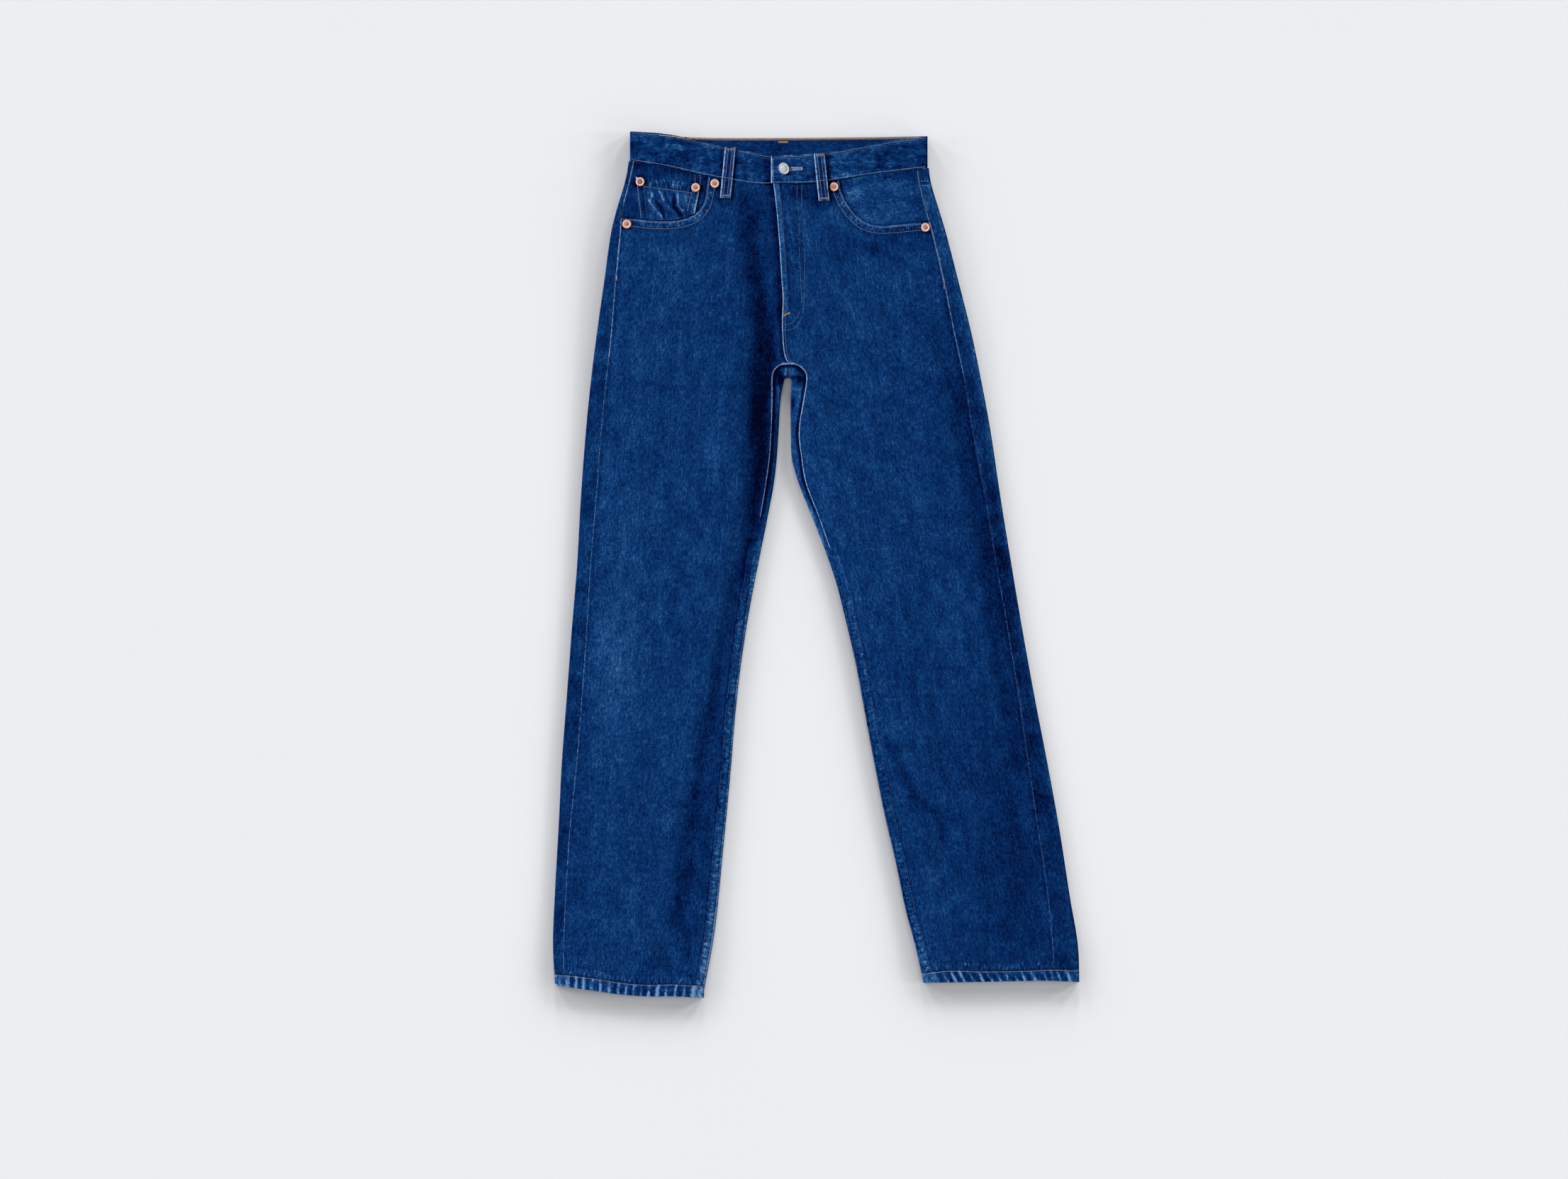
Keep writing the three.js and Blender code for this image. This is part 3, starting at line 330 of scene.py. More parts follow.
# Smaller creases that only the visual model has.
CREASES = [
    [(-215, 395, 5, 0.5), (-160, 392, 5, 0.5)],
    [(-150, 398, 5, 0.5), (-120, 380, 5, 0.5)],
    [(-205, 402, 4, -0.5), (-190, 372, 4, -0.5)],
    [(-176, 404, 4, 0.5), (-168, 376, 4, 0.5)],
    [(70, 398, 4, 0.5), (64, 372, 4, 0.5)],
    [(92, 398, 4, -0.5), (90, 366, 4, -0.5)],
    [(-58, 232, 6, -0.8), (-86, 262, 6, -0.8)],
    [(-60, 222, 5, 0.8), (-92, 244, 5, 0.8)],
    [(-8, 232, 6, -0.7), (24, 262, 6, -0.7)],
    [(-6, 222, 5, 0.7), (30, 240, 5, 0.7)],
    [(-172, -402, 4, 1.0), (-158, -470, 4, 1.0)],
    [(-166, -398, 4, -1.0), (-150, -466, 4, -1.0)],
    [(-186, -452, 5, -0.8), (-172, -486, 5, -0.8)],
    [(-205, -462, 5, 0.6), (-180, -495, 5, 0.6)],
    [(-142, -440, 4, -0.7), (-136, -480, 4, -0.7)],
    [(-292, -478, 5, 0.6), (-262, -482, 5, 0.6)],
    [(150, -452, 5, 0.6), (162, -478, 5, 0.6)],
    [(205, -466, 5, -0.5), (214, -482, 5, -0.5)],
    [(262, -470, 5, 0.5), (282, -478, 5, 0.5)],
    [(95, -320, 7, 0.7), (122, -404, 7, 0.7)],
    [(-250, 20, 9, 0.4), (-262, -190, 9, 0.4)],
    [(-180, 200, 15, -0.5), (-196, -10, 15, -0.5)],
    [(90, 280, 18, -0.5), (122, 60, 18, -0.5)],
    [(60, 180, 16, 0.5), (92, -40, 16, 0.5)],
    [(170, -180, 15, 0.5), (200, -420, 15, 0.5)],
    [(-230, -180, 14, 0.5), (-262, -430, 14, 0.5)],
    [(-190, -160, 14, -0.5), (-214, -400, 14, -0.5)],
]

# Soft patches on the panels, lighter where positive: partly worn dye, partly painted shade and light, as
# below the band, round the loop ends and under the pocket openings.
PATCHES_OF_DYE_AND_SHADE = table("x y across along lean strength", [
    (-245, -134, 34, 120, 4, 0.13),
    (-228, 60, 30, 120, 4, 0.05),
    (-166, 345, 26, 40, 3, 0.08),
    (-160, 300, 50, 90, 3, 0.02),
    (150, -430, 40, 60, -8, 0.04),
    (250, -380, 30, 130, -9, -0.12),
    (-92, 430, 26, 26, 0, -0.06),
    (85, 386, 46, 14, -4, -0.13),
    (88, 402, 40, 6, -4, -0.06),
    (-180, 392, 44, 8, 0, -0.05),
    (30, 120, 10, 60, -14, 0.04),
    (-190, 380, 40, 24, 0, 0.04),
    (190, -100, 28, 50, -8, 0.04),
    (90, 330, 55, 60, -8, 0.03),
    (0, 150, 18, 120, -14, 0.05),
    (112, -120, 26, 90, -13, -0.05),
    (150, -240, 30, 120, -10, -0.05),
    (-20, 450, 32, 11, 0, -0.24),
    (-2, 440, 12, 12, 0, -0.10),
    (-114, 452, 8, 14, 0, -0.14),
    (45, 436, 24, 9, -10, 0.10),
    (216, -471, 30, 16, 0, -0.06),
    (190, -10, 26, 60, -10, -0.04),
    (-204, 418, 16, 8, 0, 0.08),
    (-146, 434, 9, 14, 0, 0.08),
    (-262, -440, 40, 40, 0, 0.02),
    (-285, -200, 12, 260, 3, -0.03),
    (-120, -260, 26, 140, 8, -0.06),
    (215, -260, 46, 170, -9, -0.10),
    (190, -420, 50, 60, -9, -0.05),
    (160, 150, 30, 140, -10, -0.05),
    (-130, 330, 30, 80, 3, -0.03),
    (-141, -476, 8, 24, 8, 0.12),
    (-108, 427, 20, 7, 20, 0.09),
    (121, 436, 13, 13, 0, -0.08),
    (121, 371, 12, 8, 0, -0.10),
    (155, 349, 8, 14, 0, -0.12),
    (218, 121, 7, 28, 0, -0.10),
    (-250, -212, 16, 18, 0, -0.07),
    (-62, 343, 8, 30, 0, -0.06),
    (80, 270, 14, 16, 0, 0.06),
    (26, 8, 8, 22, -10, 0.06),
    (77, -224, 9, 18, 0, 0.08),
    (-230, -132, 30, 12, 0, 0.06),
    (-298, -187, 7, 24, 0, 0.08),
    (-300, -430, 8, 32, 0, 0.08),
    (131, -482, 7, 14, 0, 0.14),
])

# Painted shade and light along the folds, with some worn dye, each a line of (x, y, half width, strength),
# darker where negative.
FOLD_SHADING_AND_DYE = [
    [
        (-88, 460, 13, -0.08), (-80, 425, 14, -0.24), (-78, 383, 15, -0.24), (-73, 340, 13, -0.32),
        (-64, 297, 14, -0.46), (-62, 254, 15, -0.52), (-67, 211, 15, -0.54), (-69, 168, 14, -0.54),
        (-68, 125, 13, -0.50), (-73, 83, 11, -0.46), (-80, 31, 9, -0.36), (-95, -20, 9, -0.24),
        (-109, -89, 9, -0.18), (-125, -174, 10, -0.20), (-138, -260, 12, -0.18), (-158, -346, 13, -0.18),
        (-166, -431, 12, -0.24), (-158, -475, 9, -0.14),
    ],
    [(-86, 20, 10, 0.09), (-102, -60, 12, 0.07), (-126, -174, 13, 0.03), (-132, -240, 12, 0.06)],
    [(-139, -315, 12, -0.08), (-144, -390, 12, -0.09)],
    [(196, 40, 8, -0.10), (211, -72, 9, -0.13), (230, -174, 9, -0.13), (249, -277, 9, -0.10)],
    [(216, 60, 4, -0.10), (220, 10, 4, -0.12)],
    [(-73, 5, 6, -0.10), (-94, -75, 6, -0.12), (-99, -140, 5, -0.06)],
    [(42, -46, 8, 0.06), (64, -150, 8, 0.06)],
    [(-190, -478, 8, -0.10), (-150, -498, 8, -0.10)],
    [(120, 345, 8, -0.06), (160, 230, 10, -0.10), (203, 15, 10, -0.10), (233, -75, 9, -0.08)],
    [(60, 396, 6, 0.05), (130, 362, 6, 0.05)],
    [(62, 384, 7, -0.09), (128, 352, 7, -0.09)],
    [(85, -212, 7, -0.12), (116, -277, 7, -0.14), (150, -308, 7, -0.12), (154, -352, 7, -0.08)],
    [(112, -300, 14, -0.03), (124, -410, 14, -0.04)],
    [
        (158, 330, 10, -0.10), (174, 250, 14, -0.20), (206, 80, 14, -0.21), (230, -63, 12, -0.16),
        (268, -300, 11, -0.08),
    ],
    [(186, 240, 6, -0.06), (222, 60, 6, -0.10), (243, -60, 6, -0.06)],
    [(190, -420, 30, -0.05), (230, -480, 30, -0.05)],
]

# Painted shade in the hollows round the fork, and paler places where negative: x, y, across, up and strength.
FORK_SHADING = [
    (-43.0, 224.0, 3.2, 6.5, 0.7),
    (-22.0, 226.0, 6.5, 2.0, 0.7),
    (-28.3, 194, 2.0, 8, 0.5),
    (-48.0, 232, 4, 3, 0.25),
    (-22.0, 236.0, 5, 2.5, 0.25),
    (-20.3, 206, 2.6, 9, -0.16),
    (-46.3, 205, 2.2, 24, -0.18),
    (-26.0, 214, 2.2, 5, -0.08),
]

FRONT_LOOPS = records("node top_x top_y end_x end_y", [
    ("belt_loop_front_right", -104.2, 503.4, -110.2, 442.6),
    ("belt_loop_front_left", 3.0, 496.0, 9.0, 439.2),
])
BACK_LOOPS = records("node top_x top_y end_x end_y", [
    ("belt_loop_back_right", -158.0, 516.0, -158.0, 456.0),
    ("belt_loop_back_centre", -34.3, 514.8, -34.3, 453.0),
    ("belt_loop_back_left", 80.0, 516.0, 80.0, 456.0),
])

# Where the rivets press the cloth, and how far the cloth's warp leans along each leg.
RIVETS = [(-213, 462.2), (-146, 455.2), (-122.9, 460.2), (-229.1, 411.2), (21.2, 456.2), (131.6, 407.2)]
GRAIN_LEAN = {"right": 0.094, "left": -0.172}

COIN = {
    "left_x": -218.5, "left_y": 468.2, "right_x": -139.8, "right_y": 459.6,
    "foot_left": -213.5, "foot_left_y": 416, "foot_right": -147.0, "foot_right_y": 424,
}
COIN_FOLDS = [
    [(-200.5, 452, 1.2, 0.3), (-198, 445, 1.3, 1.0), (-192.5, 440, 1.4, 0.6), (-186, 437, 1.6, 0.3)],
    [(-190, 452, 1.2, 0.5), (-186.5, 444, 1.3, 0.7), (-184, 438, 1.4, 0.4)],
    [(-180, 452, 1.2, 0.3), (-179, 446, 1.3, 0.6), (-176, 440, 1.4, 0.4)],
    [(-167.5, 450, 1.0, 0.6), (-167.5, 440, 1.2, 1.0), (-167, 433, 1.2, 0.8), (-161.5, 427, 1.6, 0.6)],
    [(-203, 440, 1.8, 0.6), (-196, 431, 2.0, 0.5), (-192, 425, 2.0, 0.4)],
    [(-190, 424, 1.2, 0.6), (-187, 421, 1.2, 0.9), (-186, 417, 1.0, 0.8)],
    [(-158, 444, 1.4, 0.4), (-156, 432, 1.6, 0.5)],
    [(-182, 434, 2.4, 0.5), (-174, 428, 2.4, 0.4)],
    [(-196, 444, 2.0, -0.7), (-188, 430, 2.4, -0.6), (-184, 418, 2.2, -0.6)],
    [(-172, 446, 2.0, -0.7), (-172, 432, 2.2, -0.6), (-164, 422, 2.4, -0.7)],
]
BACK_POCKET = {"inner": 38, "width": 130, "below": 20, "side": 112, "point": 140, "taper": 6}
ROPING = {"pitch": 10.6, "height": 1.0, "slant_right": 0.02, "slant_left": 0.24}

# How pale or dark each leg's seams, edges and hem are: mostly uneven wear, with painted shade beside the
# inseam and a painted highlight along the folded inner edge.
LOOKS = {
    "right": {
        "arch_points": 34, "felled": 0.12, "inseam_edge": 0.4, "fork_edge": 0.2, "inseam_shade": 0.26,
        "pocket_edge": 1.1, "outseam_edge": 0.8, "fold_width": 2.6, "strip": 0.06, "strip_felled": 0.30,
        "hem": 0.03, "hem_ridges": 0.84, "hem_ends": 0.34, "hem_tips": 0.75,
    },
    "left": {
        "arch_points": 37, "felled": -0.06, "inseam_edge": 0.25, "fork_edge": 0.5, "inseam_shade": 0.08,
        "pocket_edge": 1.4, "outseam_edge": 0.9, "fold_width": 5, "strip": 0.16, "strip_felled": -0.08,
        "hem": -0.05, "hem_ridges": 0.62, "hem_ends": 0.26, "hem_tips": 0.5,
    },
}


def smooth(value, start, end):
    u = np.clip((value - start) / (end - start), 0, 1)
    return u * u * (3 - 2 * u)


def lerp(a, b, u):
    return a + (b - a) * u


def bell(distance, width):
    """One at no distance, falling softly to nothing by about twice the width."""
    return np.exp(-((distance / width) ** 2))


def spot(dx, across, dy, up):
    """A soft round or oval spot."""
    return np.exp(-((dx / across) ** 2) - ((dy / up) ** 2))


def curve(rows, key, value):
    """A smooth curve of one column of a table against another."""
    order = np.argsort(rows[key])
    xs, ys = rows[key][order], rows[value][order]
    slopes = np.gradient(ys, xs)
    slopes[1:-1] = (ys[2:] - ys[:-2]) / (xs[2:] - xs[:-2])

    def at(place):
        place = np.clip(place, xs[0], xs[-1])
        i = np.clip(np.searchsorted(xs, place, side="right") - 1, 0, len(xs) - 2)
        span = xs[i + 1] - xs[i]
        u = (place - xs[i]) / span
        rest = 1 - u
        start = ys[i] * (1 + 2 * u) * rest**2 + slopes[i] * span * u * rest**2
        end = ys[i + 1] * (3 - 2 * u) * u**2 - slopes[i + 1] * span * u**2 * rest
        return start + end

    return at


def through(points, at):
    """Points on a smooth line through the given ones, at these places counted in points."""
    points = np.asarray(points, float)
    last = len(points) - 1
    i = np.clip(np.floor(at).astype(int), 0, last - 1)
    u = (at - i)[:, None]
    before = points[np.maximum(i - 1, 0)]
    a, b = points[i], points[i + 1]
    after = points[np.minimum(i + 2, last)]
    slope_a, slope_b = (b - before) / 2, (after - a) / 2
    return (
        (2 * u**3 - 3 * u**2 + 1) * a + (u**3 - 2 * u**2 + u) * slope_a
        + (3 * u**2 - 2 * u**3) * b + (u**3 - u**2) * slope_b
    )


def noise(x, y, size_x, size_y, seed):
    """Smooth value noise from -1 to 1."""
    lattice = np.random.default_rng(seed).uniform(-1, 1, (64, 64))
    gx, gy = x / size_x + 500, y / size_y + 500
    ix, iy = np.floor(gx).astype(int), np.floor(gy).astype(int)
    u, v = gx - ix, gy - iy
    u, v = u * u * (3 - 2 * u), v * v * (3 - 2 * v)
    corner = lambda dx, dy: lattice[(ix + dx) % 64, (iy + dy) % 64]
    low = lerp(corner(0, 0), corner(1, 0), u)
    high = lerp(corner(0, 1), corner(1, 1), u)
    return lerp(low, high, v)


class Side:
    """One side of the jeans, with the lines that bound its pieces. out is -1 on the right."""

    def __init__(self, name, out, band, hem, opening):
        self.name = name
        self.out = out
        self.look = LOOKS[name]
        self.edge = curve(SIDE_LINES, "y", name + "_edge")
        self.seam = curve(SIDE_LINES, "y", name + "_seam")
        self.inner_edge = curve(INNER_LINES, "y", name + "_edge")
        self.inner_seam = curve(INNER_LINES, "y", name + "_seam")
        self.band_upper = curve(band, "x", "upper")
        self.band_lower = curve(band, "x", "lower")
        self.hem_upper = curve(hem, "x", "upper")
        self.hem_lower = curve(hem, "x", "lower")
        self.opening = np.stack([opening["x"], opening["y"]], 1)
        self.corner_y = opening["y"][-1]

    def waist(self, x):
        return self.band_lower(x) - BAND_SEAM_GAP


RIGHT = Side("right", -1, BAND_RIGHT, HEM_RIGHT, OPENING_RIGHT)
LEFT = Side("left", 1, BAND_LEFT, HEM_LEFT, OPENING_LEFT)
centre_front = curve(CENTRE_FRONT, "y", "x")
edge_top_middle = curve(LOFT, "y", "edge")
rise = curve(LOFT, "y", "rise")
band_back_lower = curve(BAND_BACK, "x", "lower")
band_back_upper = curve(BAND_BACK, "x", "upper")


# Heights of the layers

def under_middle(y):
    return PATCH_ROOM * smooth(y, PATCH_ROOM_STARTS, PATCH_ROOM_FULL) + CLOTH / 2


def bend_radius(y):
    return (edge_top_middle(y) - under_middle(y)) / 2


def edge_inset(y):
    return bend_radius(y) + CLOTH / 2


def inside_distance(x, y):
    side = np.minimum(x - RIGHT.edge(y), LEFT.edge(y) - x)
    below = np.where(x < FORK_X, RIGHT.inner_edge(y) - x, x - LEFT.inner_edge(y))
    above = np.hypot(x - FORK_X, y - FORK_Y) - FORK_RADIUS
    fork = np.where(y > FORK_Y, above, below)
    return np.maximum(0, np.minimum(side, fork) - edge_inset(y))


def along_chains(chains, x, y):
    """The sum of soft lines, each with its own changing half width and amount."""
    total = np.zeros(np.broadcast(x, y).shape)
    for chain in chains:
        best = np.zeros(total.shape)
        for (x0, y0, width0, amount0), (x1, y1, width1, amount1) in zip(chain[:-1], chain[1:]):
            dx, dy = x1 - x0, y1 - y0
            u = np.clip(((x - x0) * dx + (y - y0) * dy) / (dx * dx + dy * dy), 0, 1)
            away = np.hypot(x - x0 - u * dx, y - y0 - u * dy) / lerp(width0, width1, u)
            value = lerp(amount0, amount1, u) * np.exp(-away * away)
            best = np.where(np.abs(value) > np.abs(best), value, best)
        total += best
    return total


def ripples(x, y):
    """Small unevenness of washed cloth."""
    return (
        0.42 * noise(x, y, 34, 70, 1)
        + 0.16 * noise(x, y, 13, 26, 2)
        + 0.07 * noise(x, y, 5, 9, 3)
    )


def top_middle(x, y):
    """Middle height of the top layer."""
    inside = inside_distance(x, y)
    lifted = rise(y) * (1 - np.exp(-inside / RISE_WIDTH))
    folds = along_chains(FOLDS, x, y) * (1 - smooth(y, 390, 425))
    creases = along_chains(CREASES, x, y) * (1 - smooth(y, 400, 425))
    small = ripples(x, y) * (1 - 0.6 * smooth(y, 380, 420))
    relief = (folds + creases + small) * smooth(inside, 0, FOLD_MARGIN)
    lowest = under_middle(y) + CLOTH + LEAST_GAP
    return np.maximum(lowest, edge_top_middle(y) + lifted + relief)


def fly_raise(x, y):
    """The left front's fly laps over the right front, so it is raised there."""
    beyond = x - centre_front(y) - FLY_LAP - FLY_LAP_MARGIN
    risen = smooth(y, FLY_END, FLY_END + FLY_RAISE_RAMP)
    return (CLOTH + SEAM_GAP) * (1 - smooth(beyond, 0, FLY_SLOPE)) * risen


def fly_lap(y):
    return FLY_LAP * smooth(y, FLY_END + 22, FLY_END + 45)


# Meshes

def distance_to(path, x, y):
    """Distance from points to a line of points, and how far along it the nearest place is."""
    best = np.full(np.shape(x), np.inf)
    along = np.zeros(np.shape(x))
    start = 0.0
    for (x0, y0), (x1, y1) in zip(path[:-1], path[1:]):
        dx, dy = x1 - x0, y1 - y0
        length = math.hypot(dx, dy)
        u = np.clip(((x - x0) * dx + (y - y0) * dy) / (length * length), 0, 1)
        away = np.hypot(x - x0 - u * dx, y - y0 - u * dy)
        nearer = away < best
        best = np.where(nearer, away, best)
        along = np.where(nearer, start + u * length, along)
        start += length
    return best, along


def make_mesh(name, points, faces, material, attributes=None, smooth_faces=True):
    """A mesh object from points in millimetres and faces of four corners."""
    points = np.asarray(points, np.float32) * MM
    faces = np.asarray(faces, np.int32)
    corners = faces.shape[1]
    mesh = bpy.data.meshes.new(name)
    mesh.vertices.add(len(points))
    mesh.vertices.foreach_set("co", points.ravel())
    mesh.loops.add(faces.size)
    mesh.loops.foreach_set("vertex_index", faces.ravel())
    mesh.polygons.add(len(faces))
    mesh.polygons.foreach_set("loop_start", np.arange(0, faces.size, corners, dtype=np.int32))
    mesh.polygons.foreach_set("loop_total", np.full(len(faces), corners, np.int32))
    mesh.polygons.foreach_set("use_smooth", np.full(len(faces), smooth_faces))
    for key, values in (attributes or {}).items():
        values = np.asarray(values, np.float32)
        vector = values.ndim == 2
        layer = mesh.attributes.new(key, "FLOAT_VECTOR" if vector else "FLOAT", "POINT")
        layer.data.foreach_set("vector" if vector else "value", values.ravel())
    mesh.update(calc_edges=True)
    mesh.validate()
    mesh.materials.append(material)
    made = bpy.data.objects.new(name, mesh)
    bpy.context.scene.collection.objects.link(made)
    return made


def grid_faces(rows, columns, offset=0, ring=False, flip=False):
    """Corner numbers of a grid's faces."""
    across = columns if ring else columns - 1
    i, j = np.meshgrid(np.arange(rows - 1), np.arange(across), indexing="ij")
    right = (j + 1) % columns
    quads = [i * columns + j, (i + 1) * columns + j, (i + 1) * columns + right, i * columns + right]
    faces = np.stack([q.ravel() for q in quads], 1) + offset
    return faces[:, ::-1] if flip else faces


class Wall:
    """A closed wall of cloth on a grid of middle points, each with the way its outer face looks."""

    def __init__(self, middle, normal, thickness, ring=False):
        self.middle = middle
        self.normal = normal
        self.thickness = thickness
        self.ring = ring
        self.proud = np.zeros(middle.shape[:2])
        # Tone of the outer face: worn dye, and painted light and shade.
        self.fade = np.zeros(middle.shape[:2])
        self.wear = np.zeros(middle.shape[:2])
        self.pucker = np.zeros(middle.shape[:2])
        self.crease = np.zeros(middle.shape[:2])
        # The inner faces are set darker than the outer ones.
        self.inner_dye_and_shading = -0.12
        self.grain = middle.copy()
        self.seam = np.zeros(middle.shape)

    @property
    def x(self):
        return self.middle[..., 0]

    @property
    def y(self):
        return self.middle[..., 1]

    def build(self, name, material):
        rows, columns = self.middle.shape[:2]
        reach = (self.thickness / 2 + self.proud)[..., None]
        outer = self.middle + self.normal * reach
        inner = self.middle - self.normal * (self.thickness / 2)
        count = rows * columns
        faces = [grid_faces(rows, columns, 0, self.ring), grid_faces(rows, columns, count, self.ring, True)]
        across = columns if self.ring else columns - 1
        j = np.arange(across)
        right = (j + 1) % columns
        foot = (rows - 1) * columns
        faces.append(np.stack([j, right, right + count, j + count], 1))
        faces.append(np.stack([foot + j, foot + j + count, foot + right + count, foot + right], 1))
        if not self.ring:
            i = np.arange(rows - 1) * columns
            below = i + columns
            last = columns - 1
            faces.append(np.stack([i, i + count, below + count, below], 1))
            faces.append(np.stack([i + last, below + last, below + last + count, i + last + count], 1))
        faces = np.concatenate(faces)
        points = np.concatenate([outer.reshape(-1, 3), inner.reshape(-1, 3)])
        if signed_volume(points, faces) < 0:
            faces = faces[:, ::-1]
        attributes = {"fade": np.append(self.fade, np.full_like(self.fade, self.inner_dye_and_shading))}
        for key in ("wear", "pucker", "crease"):
            values = getattr(self, key)
            attributes[key] = np.append(values, values * 0)
        for key in ("grain", "seam"):
            attributes[key] = np.concatenate([getattr(self, key).reshape(-1, 3)] * 2) * MM
        made = make_mesh(name, points, faces, material, attributes)
        SURFACES.append((points, faces))
        return made


SURFACES = []


def signed_volume(points, faces):
    a, b, c, d = (points[faces[:, k]] for k in range(4))
    one = np.einsum("ij,ij->i", a, np.cross(b, c)).sum()
    two = np.einsum("ij,ij->i", a, np.cross(c, d)).sum()
    return one + two


def shares_with_fine_ends(columns, fine=5, ratio=0.3):
    """Shares from 0 to 1 whose first and last steps are finer."""
    steps = np.ones(columns)
    ramp = np.linspace(ratio, 1, fine, endpoint=False)
    steps[:fine] = ramp
    steps[-fine:] = ramp[::-1]
    total = np.concatenate([[0], np.cumsum(steps)])
    return total / total[-1]


UP = np.array([0.0, 0.0, 1.0])


def flat_wall(x, y, z, thickness=CLOTH, outward=UP):
    """A wall whose outer face looks straight up, or straight down."""
    middle = np.stack([x, y, z], -1)
    return Wall(middle, np.broadcast_to(outward, middle.shape).copy(), thickness)


def dye_and_shading_at(x, y):
    """How much lighter or darker a place on the panels is: worn dye, with painted shade and light along the
    folds, in patches and round the rivets.
    """
    total = along_chains(FOLD_SHADING_AND_DYE, x, y)
    rows = zip(*(PATCHES_OF_DYE_AND_SHADE[key] for key in ("x", "y", "across", "along", "lean", "strength")))
    for cx, cy, across, along, lean, strength in rows:
        angle = math.radians(lean)
        dx, dy = x - cx, y - cy
        u = (dx * math.cos(angle) - dy * math.sin(angle)) / across
        v = (dx * math.sin(angle) + dy * math.cos(angle)) / along
        total += strength * np.exp(-(u * u + v * v))
    # A dark ring round each rivet: painted shade, with some dye.
    for rivet_x, rivet_y in RIVETS:
        away = np.hypot(x - rivet_x, y - rivet_y)
        total -= 0.32 * bell(away - 6.2, 2.4)
    return total


def leg_grain(side, x, y, nz, layer):
    """Cloth coordinates whose second one runs along the leg."""
    across = x - GRAIN_LEAN[side.name] * y
    return np.stack([across, y + 0 * x, layer + 30 * nz + 0 * x], -1)


def mark_shade(wall, path, offset, width, strength):
    """Painted shade: a dark line beside a seam."""
    away, _ = distance_to(path, wall.x, wall.y)
    wall.fade -= strength * bell(away - offset, width)


def mark_seam(wall, path, half, strength=1.0, wear=0.0, lift=0.0, offset=0.0):
    """Puckers, wear and a doubled thickness in a band along a line."""
    away, along = distance_to(path, wall.x, wall.y)
    mask = 1 - smooth(np.abs(away - offset), half * 0.75, half * 1.15)
    stronger = mask * strength > wall.pucker + 0.001
    wall.pucker = np.where(stronger, mask * strength, wall.pucker)
    wall.seam[..., 0] = np.where(stronger, away, wall.seam[..., 0])
    wall.seam[..., 1] = np.where(stronger, along, wall.seam[..., 1])
    wall.wear = np.maximum(wall.wear, wear * mask)
    wall.proud += lift * mask


def mark_edge(wall, path, width, strength):
    """A pale worn line along an edge."""
    away, _ = distance_to(path, wall.x, wall.y)
    wall.wear = np.maximum(wall.wear, strength * bell(away, width))


# The front panels

ROWS_OPENING = 72
ROWS_HIP = 66
ROWS_FORK = 18
ROWS_LEG = 304
FRONT_COLUMNS = 103
FORK_STATIONS = len(FORK_LINES["side"])


def leg_heights(side, u):
    """Heights on the side seam and on the inseam of a share of the leg below the fork."""
    inner = lerp(LEG_TOP_INNER, side.hem_upper(side.inner_seam(HEM_MIDDLE)), u)
    outer = lerp(LEG_TOP_SIDE, side.hem_upper(side.seam(HEM_MIDDLE)), u)
    return outer, inner


def arch_line(side, places):
    """Points on the inseam arch, places counted in fork lines from the junction."""
    points = np.stack([FORK_LINES[side.name + "_x"], FORK_LINES[side.name + "_y"]], 1)[FORK_JUNCTION:]
    first = np.array([[side.inner_seam(LEG_TOP_INNER), LEG_TOP_INNER]])
    return through(np.concatenate([points, first]), places)


def front_ends(side):
    """Both ends of each row of a front: on the opening or side seam, and on the centre or inseam."""
    outer, inner = [], []
    t = np.linspace(0, 1, ROWS_OPENING, endpoint=False)
    outer.append(through(side.opening, t * (len(side.opening) - 1)))
    top = 457.4 if side is RIGHT else 461
    y = lerp(top, CORNER_FRONT, t)
    inner.append(np.stack([centre_front(y), y], 1))
    t = np.linspace(0, 1, ROWS_HIP, endpoint=False)
    y_out = lerp(side.corner_y, FORK_LINES["side"][0], t)
    outer.append(np.stack([side.seam(y_out), y_out], 1))
    y = lerp(CORNER_FRONT, FORK_LINES["front"][0], t)
    inner.append(np.stack([centre_front(y), y], 1))
    t = np.linspace(0, FORK_STATIONS, ROWS_FORK, endpoint=False)
    stations = np.arange(FORK_STATIONS + 1)
    y_out = np.interp(t, stations, np.append(FORK_LINES["side"], LEG_TOP_SIDE))
    outer.append(np.stack([side.seam(y_out), y_out], 1))
    y = np.interp(t, stations[:-1], FORK_LINES["front"])
    centre = np.stack([centre_front(y), y], 1)
    arch = arch_line(side, np.maximum(t - FORK_JUNCTION, 0))
    inner.append(np.where((t < FORK_JUNCTION)[:, None], centre, arch))
    u = np.linspace(0, 1, ROWS_LEG)
    y_out, y = leg_heights(side, u)
    outer.append(np.stack([side.seam(y_out), y_out], 1))
    inner.append(np.stack([side.inner_seam(y), y], 1))
    return np.concatenate(outer), np.concatenate(inner)


def bow_to_hem(side, x, y, leg_share):
    """Bows the last rows so that the last one follows the hem's fold line."""
    bow = side.hem_upper(x[-1]) - y[-1]
    weight = np.clip((leg_share - 1 + BOW_SHARE) / BOW_SHARE, 0, 1)
    return y + bow[None, :] * weight[:, None]


def front_height(side, x, y):
    return top_middle(x, y) + (fly_raise(x, y) if side is LEFT else 0)


def inseam_path(side, step=12):
    y = np.arange(LEG_TOP_INNER, -512, -step, dtype=float)
    leg = np.stack([side.inner_seam(y), y], 1)
    arch = arch_line(side, np.linspace(0, FORK_STATIONS - FORK_JUNCTION, 20, endpoint=False))
    return np.concatenate([arch, leg])


def side_path(side, top, foot, step=12):
    y = np.arange(top, foot, -step, dtype=float)
    return np.stack([side.seam(y), y], 1)


